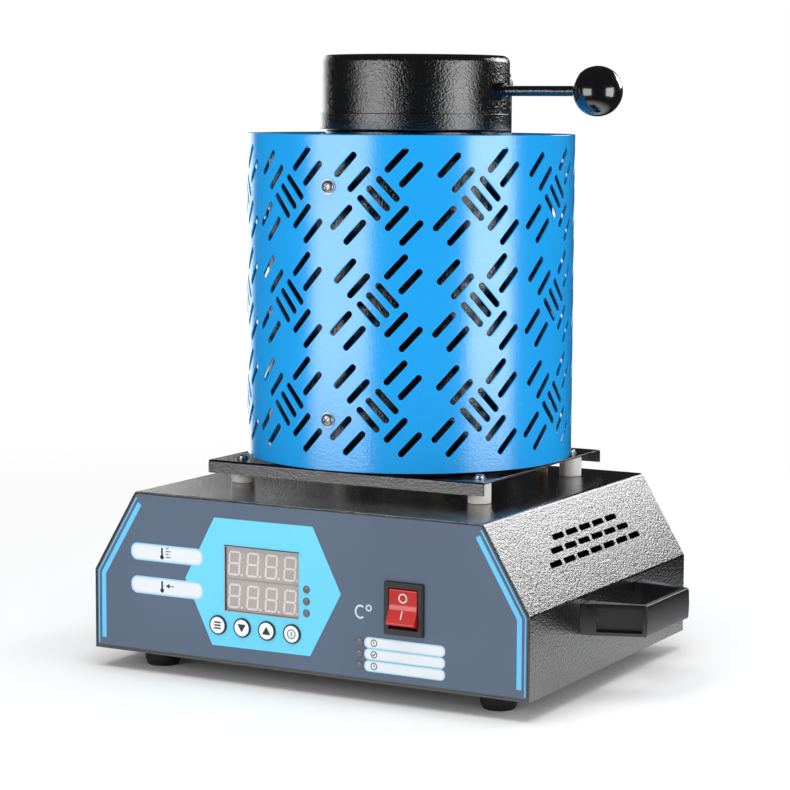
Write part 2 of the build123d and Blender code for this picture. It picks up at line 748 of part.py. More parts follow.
def switch_blade(x, z):
    """Flat push-on terminal at the switch's rear."""
    back = front_y + 24
    blade = block((switch_x + x - 0.4, back, floor_z + switch_z + z - 3.1),
                  (switch_x + x + 0.4, back + 9, floor_z + switch_z + z + 3.1))
    return blade - along_x(0.9, switch_x + x - 2, switch_x + x + 2, back + 5.5, floor_z + switch_z + z)


def display_window():
    left, right, low, high = display_box
    gap = 0.1
    return block((left + gap, front_y - 0.2, floor_z + low + gap),
                 (right - gap, front_y + 1.0, floor_z + high - gap))


def digit_module(row):
    """Four-figure display block behind the window."""
    left, right, low, high = display_box
    half = (high - low) / 2
    z = floor_z + low + row * half
    return block((left + 1.5, front_y + 1.4, z + 1.0), (right - 1.5, front_y + 9.0, z + half - 1.0))


def lamp(x, z):
    """Lens of one indicator lamp, a little domed at the front."""
    body = along_y(lamp_radius, front_y - lamp_proud, panel_y + sheet + 3.0, x, floor_z + z)
    return fillet(body.edges().filter_by(GeomType.CIRCLE).group_by(Axis.Y)[0], 0.8)


control_board_y = front_y + 10.0


def control_board():
    low = (-68.0, control_board_y, floor_z + 14)
    board = block(low, (10.0, control_board_y + 1.6, floor_z + 80))
    for x, z in corner_points(33.5, 29.0):
        board -= along_y(1.6, control_board_y - 1, control_board_y + 3, -29 + x, floor_z + 47 + z)
    return board


def board_spacer(x, z):
    start = panel_y + sheet
    body = along_y(3.0, start, control_board_y, x, z)
    return body - along_y(1.3, start - 1, control_board_y + 1, x, z)


def key_switch(x):
    """Small push switch on the board behind a key, with its plunger."""
    z = floor_z + button_z
    gap = panel_y + sheet + 1.1 + button_travel + 0.2
    body = block((x - 3, gap + 1.5, z - 3), (x + 3, control_board_y, z + 3))
    return body + along_y(1.7, gap, gap + 2.0, x, z)


def relay():
    """Solid-state relay block bolted to its heat sink."""
    low = (40.0, body_y + 8, shell_z + 16.5)
    body = block(low, (85.0, body_y + 68, shell_z + 40))
    return chamfer(body.edges().filter_by(Axis.Z), 2.0)


def heat_sink():
    """Finned aluminium block under the relay."""
    low = (32.0, body_y - 2, shell_z + 12)
    body = block(low, (93.0, body_y + 78, shell_z + 16.5))
    for i in range(9):
        x = 32.0 + i * 7.4
        body += block((x, body_y - 2, shell_z + 0.1), (x + 1.8, body_y + 78, shell_z + 12.5))
    return body


def terminal_block():
    body = block((-40.0, body_y + 40, shell_z + 0.1), (10.0, body_y + 56, shell_z + 16))
    for i in range(5):
        x = -35.0 + i * 10.0
        body -= Pos(x, body_y + 48, shell_z + 14) * Cylinder(3.0, 6.0)
        body -= along_y(2.0, body_y + 38, body_y + 58, x, shell_z + 6)
    return body


def power_inlet():
    """Three-pole appliance inlet with a flange on the rear panel."""
    z = floor_z + inlet_z
    plate = Pos(inlet_x, rear_y, z) * Rot(-90, 0, 0) * extrude(RectangleRounded(*inlet_flange, 6.0), 3.0)
    body = block((inlet_x - 13.5, rear_y - 20, z - 9.8), (inlet_x + 13.5, rear_y + 0.5, z + 9.8))
    socket = Pos(inlet_x, rear_y + 3.5, z) * Rot(90, 0, 0) * extrude(socket_outline(24.4, 16.8), 18.5)
    body = body + plate - socket
    for side in (-1, 1):
        body -= along_y(m3_hole, rear_y - 2, rear_y + 4, inlet_x + side * inlet_screw_x, z)
    for x, up in pin_places():
        body -= block((x - 2.0, rear_y - 22, z + up - 1.0), (x + 2.0, rear_y - 14, z + up + 1.0))
    return body


def socket_outline(wide, tall):
    """Rounded rectangle with its two upper corners cut off."""
    face = Rectangle(wide, tall)
    return chamfer([v for v in face.vertices() if v.Y > 0], 4.2)


def pin_places():
    return [(inlet_x, 2.4), (inlet_x - 7.0, -2.4), (inlet_x + 7.0, -2.4)]


def inlet_pin(x, up):
    z = floor_z + inlet_z + up
    return block((x - 2.0, rear_y - 26, z - 1.0), (x + 2.0, rear_y - 2, z + 1.0))


def wire(points, radius, bend):
    """Insulated wire along straight runs joined by arcs."""
    path = FilletPolyline(*points, radius=bend)
    section = Plane(origin=path @ 0, z_dir=path % 0) * Circle(radius)
    return sweep(section, path)


def wiring():
    """Main wires inside the base, and the thermocouple's lead."""
    inlet_rear = rear_y - 26.2
    live_z = floor_z + inlet_z - 2.4
    earth_z = floor_z + inlet_z + 2.4
    blade_y = front_y + 33.2
    blade_z = floor_z + switch_z
    relay_z = shell_z + 32
    block_z = shell_z + 6
    left_lead, right_lead = lead_places()
    lead_end = deck_z - 30.2
    lead_y = right_lead[1]
    probe_x, probe_y = probe_lead_place()
    live = [(inlet_x - 7, inlet_rear, live_z), (inlet_x - 7, 20, live_z), (-20, -40, live_z),
            (switch_x - 5, blade_y + 27, blade_z), (switch_x - 5, blade_y, blade_z)]
    switched = [(switch_x + 5, blade_y, blade_z), (switch_x + 5, blade_y + 32, blade_z),
                (75, -25, relay_z), (75, body_y + 7.8, relay_z)]
    heater = [(75, body_y + 68.2, relay_z), (75, body_y + 83, relay_z), (40, body_y + 85, 62),
              (right_lead[0], lead_y, 66), (right_lead[0], lead_y, lead_end)]
    neutral = [(inlet_x + 7, inlet_rear, live_z), (inlet_x + 7, body_y + 73, live_z),
               (-35, body_y + 69, 32), (-35, body_y + 69, block_z), (-35, body_y + 56.2, block_z)]
    heater_return = [(-15, body_y + 56.2, block_z), (-15, body_y + 72, block_z),
                     (left_lead[0], lead_y, 40), (left_lead[0], lead_y, lead_end)]
    earth = [(inlet_x, inlet_rear, earth_z), (inlet_x, body_y + 74, earth_z), (-100, body_y + 60, 34),
             (-100, body_y + 40, shell_z + 1.6)]
    probe = [(probe_x, probe_y, probe_z - 4.7), (probe_x, probe_y, deck_z - 16), (45, 10, deck_z - 18),
             (-20, -60, deck_z - 40), (-20, control_board_y + 1.8, deck_z - 40)]
    mains = [wire(points, 1.4, 4.0) for points in (live, switched, heater, neutral, heater_return, earth)]
    return mains + [wire(probe, 1.2, 8.0)]


def facing_out(piece, x, y, z, side):
    """Turns a piece modelled head up towards the front (-1) or the rear (1)."""
    return Pos(x, y, z) * Rot(-90 * side, 0, 0) * piece


def m3_screws():
    """Small pan-head screws of the floor, the hinge bracket and the inlet."""
    screw = pan_screw(*m3_pan, 7.0)
    screws = [Pos(x, y, floor_z) * Rot(180, 0, 0) * screw for x, y in tray_screw_places()]
    screws += [Pos(x, y, drum_top + hinge_sheet) * screw for x, y in hinge_screw_places()]
    screws += [facing_out(screw, inlet_x + side * inlet_screw_x, rear_y + 3.0, floor_z + inlet_z, 1)
               for side in (-1, 1)]
    return screws


def m4_screws():
    """Pan-head screws of the handles and of the drum's inner casing."""
    screw = pan_screw(*m4_pan, 9.0)
    screws = [Pos(x, y, plate_z - sheet) * Rot(180, 0, 0) * screw for x, y in casing_screw_places()]
    for side in (-1, 1):
        for y in handle_screw_ys():
            place = Pos(side * (body_width / 2 - sheet), y, handle_mid())
            screws.append(place * Rot(0, 90 * side, 0) * Rot(180, 0, 0) * screw)
    return screws


def m4_nuts():
    """Nuts inside the casing, on its floor and behind the cover's screws."""
    nut = hex_nut(*m4_nut)
    nuts = [Pos(x, y, plate_z + 1.0) * nut for x, y in casing_screw_places()]
    return nuts + around_cover(nut, casing_radius - 4.4)


def around_cover(piece, depth):
    """Copies of a piece modelled head up, turned outwards at each screw of the cover."""
    copies = []
    for side in cover_screw_sides:
        for z in cover_screw_zs:
            seam = seam_thick if side > 0 and depth >= drum_radius else 0
            copies.append(facing_out(piece, 0, drum_y + side * (depth + seam), z, side))
    return copies



def washer(outer, inner, thick, x=0.0, y=0.0, z=0.0):
    return tube(outer, inner, z, z + thick, x, y)


cover_washer = washer(*washer_m4)
cover_spacer = tube(4.0, 2.2, 0, drum_radius - drum_sheet - casing_radius - 0.2, 0, 0)
foot_screw = Rot(180, 0, 0) * pan_screw(*m4_pan, 12.0)
standoff_screw = pan_screw(*m3_pan, standoff_height + 6.0)

keep("base_tray", base_tray())
keep("base_shell", base_shell())
keep("front_panel", front_panel())
keep("front_overlay", front_overlay())
keep("rear_panel", rear_panel())
keep("feet", [foot(x, y) for x, y in corner_points(foot_x, foot_y)])
keep("foot_screws", [Pos(x, body_y + y, 5.0) * foot_screw for x, y in corner_points(foot_x, foot_y)])
keep("m3_screws", m3_screws())
keep("m4_screws", m4_screws())
keep("m4_nuts", m4_nuts())
keep("handle_right", handle(1))
keep("handle_left", handle(-1))

keep("standoffs", [standoff(x, y) for x, y in standoff_places()])
keep("drum_plate", drum_plate())
keep("standoff_screws", [Pos(x, y, plate_z + washer_m3[2]) * standoff_screw for x, y in standoff_places()])
keep("standoff_washers", [washer(*washer_m3, x, y, plate_z) for x, y in standoff_places()])
keep("standoff_nuts", [Pos(x, y, deck_z - sheet - m3_nut[1]) * hex_nut(*m3_nut)
                       for x, y in standoff_places()])

keep("outer_cover", outer_cover())
keep("drum_top", drum_top_disc())
keep("inner_casing", inner_casing())
keep("casing_lid", tube(casing_radius - 1.1, casing_lid_hole, casing_top - 1.0, casing_top))
keep("cover_screws", around_cover(pan_screw(*m4_pan, 17.0), drum_radius + washer_m4[2]))
keep("cover_washers", around_cover(cover_washer, drum_radius))
keep("cover_spacers", around_cover(cover_spacer, casing_radius + 0.1))
keep("insulation_base", insulation_base())
keep("insulation_sleeve", insulation_sleeve())
keep("chamber", chamber())
keep("chamber_floor", disc(chamber_inner - 0.5, chamber_low, crucible_z))
keep("heating_element", heating_element())
keep("element_leads", [solid for x, y in lead_places() for solid in element_lead(x, y)])
keep("lead_bushes", lead_bushes())
keep("thermocouple", thermocouple())
keep("crucible", crucible())
keep("mouth_ring", mouth_ring())

keep("hinge_bracket", hinge_bracket())
keep("hinge_pin", hinge_pin())
keep("lid_leaf", lid_leaf())
keep("lid_shell", lid_shell())
keep("lid_band", lid_band())
keep("lid_insulation", lid_insulation())
keep("lid_rod", lid_rod())
keep("rod_nuts", [rod_nut(lid_x + lid_radius), rod_nut(lid_x + lid_radius - sheet - rod_nut_size[1] - 0.8)])
keep("ball_knob", ball_knob())

for name, x in button_xs.items():
    keep(f"key_{name}", key_cap(x))
keep("key_switches", [key_switch(x) for x in button_xs.values()])
keep("display_window", display_window())
keep("digit_modules", [digit_module(0), digit_module(1)])
keep("indicator_lamps", [lamp(x, z) for x, z in control_lamps + status_lamps])
keep("control_board", control_board())
keep("switch_frame", switch_frame())
keep("switch_rocker", switch_rocker())
keep("power_inlet", power_inlet())
keep("inlet_pins", [inlet_pin(x, up) for x, up in pin_places()])
keep("relay", relay())
keep("heat_sink", heat_sink())
keep("wiring", wiring())
keep("terminal_block", terminal_block())
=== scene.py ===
from math import asin, atan2, cos, hypot, pi, radians, sin, sqrt, tan

import bmesh
import bpy
from mathutils import Matrix, Quaternion, Vector


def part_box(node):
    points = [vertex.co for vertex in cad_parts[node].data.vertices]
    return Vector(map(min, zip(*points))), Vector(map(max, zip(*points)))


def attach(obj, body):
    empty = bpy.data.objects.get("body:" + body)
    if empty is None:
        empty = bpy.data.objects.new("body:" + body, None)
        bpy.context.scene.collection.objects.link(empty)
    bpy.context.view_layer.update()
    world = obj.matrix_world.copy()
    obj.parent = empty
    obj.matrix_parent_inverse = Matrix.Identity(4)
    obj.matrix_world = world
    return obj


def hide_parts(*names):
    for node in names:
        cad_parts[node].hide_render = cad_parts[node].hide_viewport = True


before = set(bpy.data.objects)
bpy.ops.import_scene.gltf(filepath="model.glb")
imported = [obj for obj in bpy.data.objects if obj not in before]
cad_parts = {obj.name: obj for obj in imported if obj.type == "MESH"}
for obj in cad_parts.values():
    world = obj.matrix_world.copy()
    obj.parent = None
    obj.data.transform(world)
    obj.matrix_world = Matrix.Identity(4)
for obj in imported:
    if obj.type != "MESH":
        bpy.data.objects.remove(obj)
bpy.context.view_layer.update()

# Sizes are written in millimetres and turned into metres when a mesh is made.
mm = 0.001


def boxOf(node):                        # lowest and highest corner of a CAD node, in millimetres
    low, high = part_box(node)
    return Vector(low) / mm, Vector(high) / mm


def middleOf(node):
    low, high = boxOf(node)
    return (low + high) / 2


tray = boxOf("base_tray")
shell = boxOf("base_shell")
base = {
    "floor": tray[0].z,                 # lower edge of the base
    "front": tray[0].y,
    "rear": tray[1].y,
    "middle": (tray[0].y + tray[1].y) / 2,
    "half": shell[1].x,
    "deckHalf": 118.0,
    "sideHeight": 48.8,
    "height": shell[1].z - tray[0].z,
    "sheet": 1.2,
    "bend": 3.0,
    "lip": 14.0,
}
base["run"] = base["half"] - base["deckHalf"]
base["rise"] = base["height"] - base["sideHeight"]
base["slant"] = hypot(base["run"], base["rise"])
drumMiddle = middleOf("crucible")       # axis of the drum
lidMiddle = middleOf("lid_band")        # axis of the lid, a little to the right of the drum's


def wrapAngle(angle):
    return (angle + pi) % (2 * pi) - pi


def rounded(points, radius, steps=5):   # corners of a closed outline as arcs; one radius, or one per corner
    outline = []
    for i, point in enumerate(points):
        size = radius[i] if isinstance(radius, (list, tuple)) else radius
        here = Vector(point)
        if size <= 0:
            outline.append(here)
            continue
        before = (Vector(points[i - 1]) - here).normalized()
        after = (Vector(points[(i + 1) % len(points)]) - here).normalized()
        half = before.angle(after) / 2
        centre = here + (before + after).normalized() * size / sin(half)
        start = here + before * size / tan(half) - centre
        end = here + after * size / tan(half) - centre
        first = atan2(start.y, start.x)
        turn = wrapAngle(atan2(end.y, end.x) - first)
        for k in range(steps + 1):
            angle = first + turn * k / steps
            outline.append(centre + Vector((cos(angle), sin(angle))) * size)
    return outline


def leftTurning(outline):               # the same outline, run anticlockwise
    area = sum(a[0] * b[1] - a[1] * b[0] for a, b in zip(outline, outline[1:] + outline[:1]))
    return outline if area > 0 else outline[::-1]


def drawnIn(outline, distance):         # an anticlockwise outline moved inwards; a minus moves it out
    moved = []
    for i, here in enumerate(outline):
        here = Vector(here)
        back = (here - Vector(outline[i - 1])).normalized()
        ahead = (Vector(outline[(i + 1) % len(outline)]) - here).normalized()
        normal = Vector((-back.y - ahead.y, back.x + ahead.x))
        normal.normalize()
        share = max(0.3, normal.dot(Vector((-back.y, back.x))))
        moved.append(here + normal * distance / share)
    return moved


def rectangle(wide, tall, radius=0.0, steps=5, at=(0.0, 0.0)):
    x, y = at
    corners = [(x - wide / 2, y - tall / 2), (x + wide / 2, y - tall / 2),
               (x + wide / 2, y + tall / 2), (x - wide / 2, y + tall / 2)]
    return rounded(corners, radius, steps)


def arcPoints(radius, first, last, steps, at=(0.0, 0.0)):   # angles in degrees
    angles = [radians(first + (last - first) * k / steps) for k in range(steps + 1)]
    return [Vector((at[0] + radius * cos(a), at[1] + radius * sin(a))) for a in angles]


def circle(radius, steps=48, at=(0.0, 0.0)):
    return arcPoints(radius, 0, 360 * (steps - 1) / steps, steps - 1, at)


def band(points, width):                # an open line given a width, as a closed outline
    half = width / 2
    left, right = [], []
    for i, point in enumerate(points):
        here = Vector(point)
        back = (here - Vector(points[i - 1])).normalized() if i else None
        ahead = (Vector(points[i + 1]) - here).normalized() if i + 1 < len(points) else None
        run = ((back or ahead) + (ahead or back)).normalized()
        normal = Vector((-run.y, run.x))
        reach = half / max(0.4, normal.dot(Vector((-(ahead or back).y, (ahead or back).x))))
        left.append(here + normal * reach)
        right.append(here - normal * reach)
    return left + right[::-1]


def onTop(u, v, w):                     # outline in plan, w upwards
    return (u, v, w)


def onFront(u, v, w):                   # outline seen from the front, w towards the rear
    return (u, w, v)


def onSide(u, v, w):                    # outline in the YZ plane, w to the right
    return (w, u, v)


def onPanel(u, v, w):                   # from the base's lower edge and the panel's face, w inwards
    return (u, base["front"] + w, base["floor"] + v)


def onFace(origin, right, up):          # a tilted flat face, w inwards
    inward = up.cross(right)
    return lambda u, v, w: tuple(origin + right * u + up * v + inward * w)


def loft(rings, closed=False):          # quads from ring to ring; ends capped, or joined into a loop
    count = len(rings[0])
    verts = [tuple(point) for ring in rings for point in ring]
    spans = len(rings) if closed else len(rings) - 1
    faces = []
    for a in range(spans):
        b = (a + 1) % len(rings)
        for i in range(count):
            j = (i + 1) % count
            faces.append((a * count + i, a * count + j, b * count + j, b * count + i))
    if not closed:
        faces.append(tuple(range(count))[::-1])
        faces.append(tuple(range(len(verts) - count, len(verts))))
    return verts, faces


def edgeSteps(low, high, edge, steps=3):    # places along an extrusion, with rounded ends: (place, inset)
    start = [(low + edge * (1 - cos(pi / 2 * k / steps)), edge * (1 - sin(pi / 2 * k / steps)))
             for k in range(steps + 1)]
    end = [(high - (place - low), inset) for place, inset in start][::-1]
    return start + end


def stacked(outline, stops, place):     # an outline at several places, drawn in as each stop says
    outline = leftTurning(list(outline))
    return loft([[place(p[0], p[1], w) for p in drawnIn(outline, inset)] for w, inset in stops])


def slab(outline, low, high, edge, place, steps=3):     # an extrusion with rounded edges at both ends
    return stacked(outline, edgeSteps(low, high, edge, steps) if edge else [(low, 0.0), (high, 0.0)], place)


def ringSlab(radius, width, low, high, place, at=(0.0, 0.0), steps=40):
    rims = [circle(radius + width / 2, steps, at), circle(radius - width / 2, steps, at)]
    rings = [[place(p.x, p.y, w) for p in rims[side]] for side, w in ((0, low), (0, high), (1, high), (1, low))]
    return loft(rings, closed=True)


def lathe(profile, spot=(0, 0, 0), axis="Z", steps=96):     # (radius, height) points turned round an axis
    verts, faces, rings = [], [], []

    def put(radius, height, angle):
        a, b = radius * cos(angle), radius * sin(angle)
        local = {"Z": (a, b, height), "Y": (b, height, a), "X": (height, a, b)}[axis]
        verts.append(tuple(Vector(local) + Vector(spot)))

    for radius, height in profile:
        start = len(verts)
        if radius < 1e-6:
            put(0, height, 0)
            rings.append([start])
        else:
            for k in range(steps):
                put(radius, height, 2 * pi * k / steps)
            rings.append(list(range(start, start + steps)))
    solid = profile[0][0] < 1e-6
    pairs = list(zip(rings, rings[1:])) + ([] if solid else [(rings[-1], rings[0])])
    for low, high in pairs:
        for k in range(steps):
            j = (k + 1) % steps
            if len(low) == 1:
                faces.append((low[0], high[k], high[j]))
            elif len(high) == 1:
                faces.append((low[k], high[0], low[j]))
            else:
                faces.append((low[k], low[j], high[j], high[k]))
    return verts, faces


def softProfile(points, radius, steps=4):       # a lathe's profile with its corners off the axis rounded
    sizes = radius if isinstance(radius, (list, tuple)) else [radius] * len(points)
    sizes = [0.0 if p[0] < 1e-6 else s for p, s in zip(points, sizes)]
    return [tuple(p) for p in rounded(points, sizes, steps)]


def joined(*parts):                     # several (verts, faces) as one
    verts, faces = [], []
    for v, f in parts:
        start = len(verts)
        verts += v
        faces += [tuple(i + start for i in face) for face in f]
    return verts, faces


def moved(shape, matrix):
    return [tuple(matrix @ Vector(v)) for v in shape[0]], shape[1]


def makeObject(name, shape, creases=32.0):      # an object from (verts, faces), faces outwards, softly shaded
    verts, faces = shape
    mesh = bpy.data.meshes.new(name)
    mesh.from_pydata([Vector(v) * mm for v in verts], [], faces)
    work = bmesh.new()
    work.from_mesh(mesh)
    bmesh.ops.recalc_face_normals(work, faces=work.faces)
    work.to_mesh(mesh)
    work.free()
    mesh.shade_smooth()
    mesh.set_sharp_from_angle(angle=radians(creases))
    thing = bpy.data.objects.new(name, mesh)
    bpy.context.scene.collection.objects.link(thing)
    return thing


def settled(thing, even=True):          # modifiers turned into a plain mesh, flat faces kept flat in the shading
    if even:
        weigh = thing.modifiers.new("even", "WEIGHTED_NORMAL")
        weigh.keep_sharp = True
        weigh.weight = 100
    bpy.context.view_layer.update()
    graph = bpy.context.evaluated_depsgraph_get()
    mesh = bpy.data.meshes.new_from_object(thing.evaluated_get(graph), preserve_all_data_layers=True,
                                           depsgraph=graph)
    old = thing.data
    thing.modifiers.clear()
    thing.data = mesh
    mesh.name = thing.name
    bpy.data.meshes.remove(old)
    return thing


def dropObject(thing):
    mesh = thing.data
    bpy.data.objects.remove(thing)
    bpy.data.meshes.remove(mesh)


def carved(thing, *cutters):            # thing with the cutters' space taken out
    for cutter in cutters:
        cut = thing.modifiers.new("cut", "BOOLEAN")
        cut.operation = "DIFFERENCE"
        cut.solver = "MANIFOLD"
        cut.object = cutter
        settled(thing, even=False)
        dropObject(cutter)
    thing.data.shade_smooth()
    thing.data.set_sharp_from_angle(angle=radians(32))
    return thing


def addPiece(thing, paints, body="base", stands=()):     # paints, rides and hides the CAD parts that a finished object stands for
    thing.data.materials.clear()
    for paint in paints if isinstance(paints, (list, tuple)) else [paints]:
        thing.data.materials.append(paint)
    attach(thing, body)
    if stands:
        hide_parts(*stands)
    return thing


def piece(name, shape, paints, body="base", stands=(), creases=32.0):
    return addPiece(settled(makeObject(name, shape, creases)), paints, body, stands)


class Wire:                             # a wire of a node tree, so that its maths is written as sums
    def __init__(self, tree, socket=None):
        self.tree = tree
        self.socket = socket

    def node(self, kind, settings=None, sockets=None, out=0):   # any node: settings first, then its sockets
        made = self.tree.nodes.new(kind)
        for name, value in (settings or {}).items():
            setattr(made, name, value)
        for name, value in (sockets or {}).items():
            if isinstance(value, Wire):
                self.tree.links.new(value.socket, made.inputs[name])
            else:
                made.inputs[name].default_value = value
        return Wire(self.tree, made.outputs[out])

    def math(self, operation, *values):
        return self.node("ShaderNodeMath", {"operation": operation}, dict(enumerate(values)))

    def __add__(self, other):
        return self.math("ADD", self, other)

    def __sub__(self, other):
        return self.math("SUBTRACT", self, other)

    def __rsub__(self, other):
        return self.math("SUBTRACT", other, self)

    def __mul__(self, other):
        return self.math("MULTIPLY", self, other)

    def __truediv__(self, other):
        return self.math("DIVIDE", self, other)

    def __rtruediv__(self, other):
        return self.math("DIVIDE", other, self)

    def __pow__(self, other):
        return self.math("POWER", self, other)

    __radd__ = __add__
    __rmul__ = __mul__

    def between(self, low, high):       # 0 below low, 1 above high, smooth in between
        sockets = {"Value": self, "From Min": low, "From Max": high}
        return self.node("ShaderNodeMapRange", {"interpolation_type": "SMOOTHSTEP"}, sockets)

    def tint(self, dark, light):        # a colour between two by this value
        sockets = {"Factor": self, 6: (*dark, 1.0), 7: (*light, 1.0)}
        return self.node("ShaderNodeMix", {"data_type": "RGBA"}, sockets, out=2)

    def noise(self, size, detail=2.0, rough=0.5, warp=0.0):     # cloudy noise, size in millimetres
        sockets = {"Vector": self, "Scale": 1000 / size, "Detail": detail, "Roughness": rough,
                   "Distortion": warp}
        return self.node("ShaderNodeTexNoise", None, sockets)

    def cells(self, size, soft=0.6):    # rounded cells, size in millimetres
        sockets = {"Vector": self, "Scale": 1000 / size, "Smoothness": soft}
        return self.node("ShaderNodeTexVoronoi", {"feature": "SMOOTH_F1"}, sockets)

    def bump(self, depth):              # this height, 0 to 1, as a relief of a depth in millimetres
        return self.node("ShaderNodeBump", None, {"Height": self, "Strength": 1.0, "Distance": depth * mm})


def srgb(red, green, blue):             # a screen colour, 0 to 255, as the renderer counts it
    def line(value):
        value = value / 255
        return value / 12.92 if value <= 0.04045 else ((value + 0.055) / 1.055) ** 2.4
    return (line(red), line(green), line(blue))


def newFinish(name, colour, roughness, **constants):    # a material, its shader and the object's own coordinates
    paint = bpy.data.materials.new(name)
    paint.use_nodes = True
    paint.diffuse_color = (*colour, 1.0)
    shader = paint.node_tree.nodes["Principled BSDF"]
    shader.inputs["Base Color"].default_value = (*colour, 1.0)
    shader.inputs["Roughness"].default_value = roughness
    for key, value in constants.items():
        shader.inputs[key.replace("_", " ")].default_value = value
    place = Wire(paint.node_tree).node("ShaderNodeTexCoord", out="Object")
    return paint, shader, place


def feed(shader, **wires):
    for key, wire in wires.items():
        wire.tree.links.new(wire.socket, shader.inputs[key.replace("_", " ")])


def hammeredPaint(name, dark, light, grain, depth, gloss):      # black structure paint: fine leathery relief
    paint, shader, place = newFinish(name, dark, gloss, Specular_IOR_Level=0.9, Coat_Weight=0.7,
                                     Coat_Roughness=0.1, Coat_IOR=1.6)
    lumps = place.noise(grain, 2.0, 0.55, 0.2)
    pits = place.cells(grain * 1.1)
    fine = place.noise(grain * 0.4, 1.0)
    relief = (lumps * 0.8 + pits * 0.35 + fine * 0.15).bump(depth)
    broad = place.noise(45.0, 2.0)
    feed(shader, Base_Color=(lumps * 0.5 + broad * 0.5).tint(dark, light),
         Roughness=gloss + fine * 0.08 + broad * 0.05, Normal=relief, Coat_Normal=relief)
    return paint


def drumPaint(name, dark, light):       # gloss powder coat with a fine orange peel
    paint, shader, place = newFinish(name, light, 0.3, Specular_IOR_Level=0.9, Coat_Roughness=0.12,
                                     Coat_IOR=1.65)
    peel = place.noise(1.3, 1.5, 0.5, 0.4)
    fine = place.noise(0.6, 1.0)
    broad = place.noise(60.0, 2.0)
    relief = (peel * 0.75 + fine * 0.25).bump(0.12)
    feed(shader, Base_Color=(broad * 0.7 + peel * 0.3).tint(dark, light),
         Roughness=0.16 + fine * 0.1, Coat_Weight=0.7 + broad * 0.2, Normal=relief, Coat_Normal=relief)
    return paint


def filmPaint(name, dark, light, gloss, depth=0.012):   # printed polyester film: faint silk grain
    paint, shader, place = newFinish(name, light, gloss)
    grain = place.noise(0.55, 1.0)
    broad = place.noise(70.0, 1.5)
    feed(shader, Base_Color=(broad * 0.8 + grain * 0.2).tint(dark, light),
         Roughness=gloss + broad * 0.08, Normal=grain.bump(depth))
    return paint


def mouldedPlastic(name, dark, light, gloss, grain=0.5, depth=0.02, **constants):
    paint, shader, place = newFinish(name, dark, gloss, **constants)
    skin = place.noise(grain, 2.0)
    broad = place.noise(25.0, 2.0)
    feed(shader, Base_Color=(broad * 0.7 + skin * 0.3).tint(dark, light),
         Roughness=gloss + skin * 0.05 + broad * 0.06, Normal=skin.bump(depth))
    return paint


def platedSteel(name, dark, light, gloss):      # zinc plating: soft crystals and fine scratches
    paint, shader, place = newFinish(name, light, gloss, Metallic=1.0)
    bloom = place.noise(3.5, 3.0, 0.6, 0.8)
    scuff = place.noise(0.35, 2.0, 0.7)
    feed(shader, Base_Color=bloom.tint(dark, light), Roughness=gloss + bloom * 0.14 + scuff * 0.08,
         Normal=scuff.bump(0.01))
    return paint


def firedCeramic(name, dark, light, gloss, pore, depth):
    paint, shader, place = newFinish(name, light, gloss)
    pores = place.noise(pore, 3.0, 0.6)
    cloud = place.noise(14.0, 3.0)
    feed(shader, Base_Color=(cloud * 0.6 + pores * 0.4).tint(dark, light),
         Roughness=gloss + pores * 0.12, Normal=pores.bump(depth))
    return paint


def fibreFelt(name, dark, light):       # ceramic fibre: matted strands
    paint, shader, place = newFinish(name, light, 0.95, Specular_IOR_Level=0.15)
    strands = place.noise(1.2, 4.0, 0.7, 2.5)
    tufts = place.noise(6.0, 3.0)
    mat = strands * 0.6 + tufts * 0.4
    feed(shader, Base_Color=mat.tint(dark, light), Roughness=0.85 + tufts * 0.1, Normal=mat.bump(0.5))
    return paint


def softRubber(name, dark, light):
    paint, shader, place = newFinish(name, dark, 0.62, Specular_IOR_Level=0.35)
    dust = place.noise(0.8, 3.0, 0.7)
    broad = place.noise(9.0, 2.0)
    feed(shader, Base_Color=(dust * 0.4 + broad * 0.6).tint(dark, light),
         Roughness=0.55 + dust * 0.2, Normal=dust.bump(0.05))
    return paint


def graphiteBlock(name, dark, light):
    paint, shader, place = newFinish(name, dark, 0.5, Specular_IOR_Level=0.6)
    grain = place.noise(0.6, 4.0, 0.7)
    turned = place.noise(8.0, 2.0)
    feed(shader, Base_Color=(grain * 0.5 + turned * 0.5).tint(dark, light),
         Roughness=0.42 + grain * 0.2, Normal=grain.bump(0.06))
    return paint


def glassyLens(name, dark, light, gloss, **constants):
    paint, shader, place = newFinish(name, light, gloss, **constants)
    cloud = place.noise(2.5, 2.0)
    feed(shader, Base_Color=cloud.tint(dark, light), Roughness=gloss + cloud * 0.05,
         Normal=place.noise(1.2, 1.0).bump(0.01))
    return paint


def labelInk(name, rim, middle):        # white label ink that turns bluish towards its rim
    paint, shader, place = newFinish(name, middle, 0.4)
    depth = place.node("ShaderNodeAttribute", {"attribute_name": "rimToMiddle"}, out="Fac")
    grain = place.noise(0.55, 1.0)
    feed(shader, Base_Color=depth.between(0.0, 1.0).tint(rim, middle), Roughness=0.36 + grain * 0.08,
         Normal=grain.bump(0.01))
    return paint


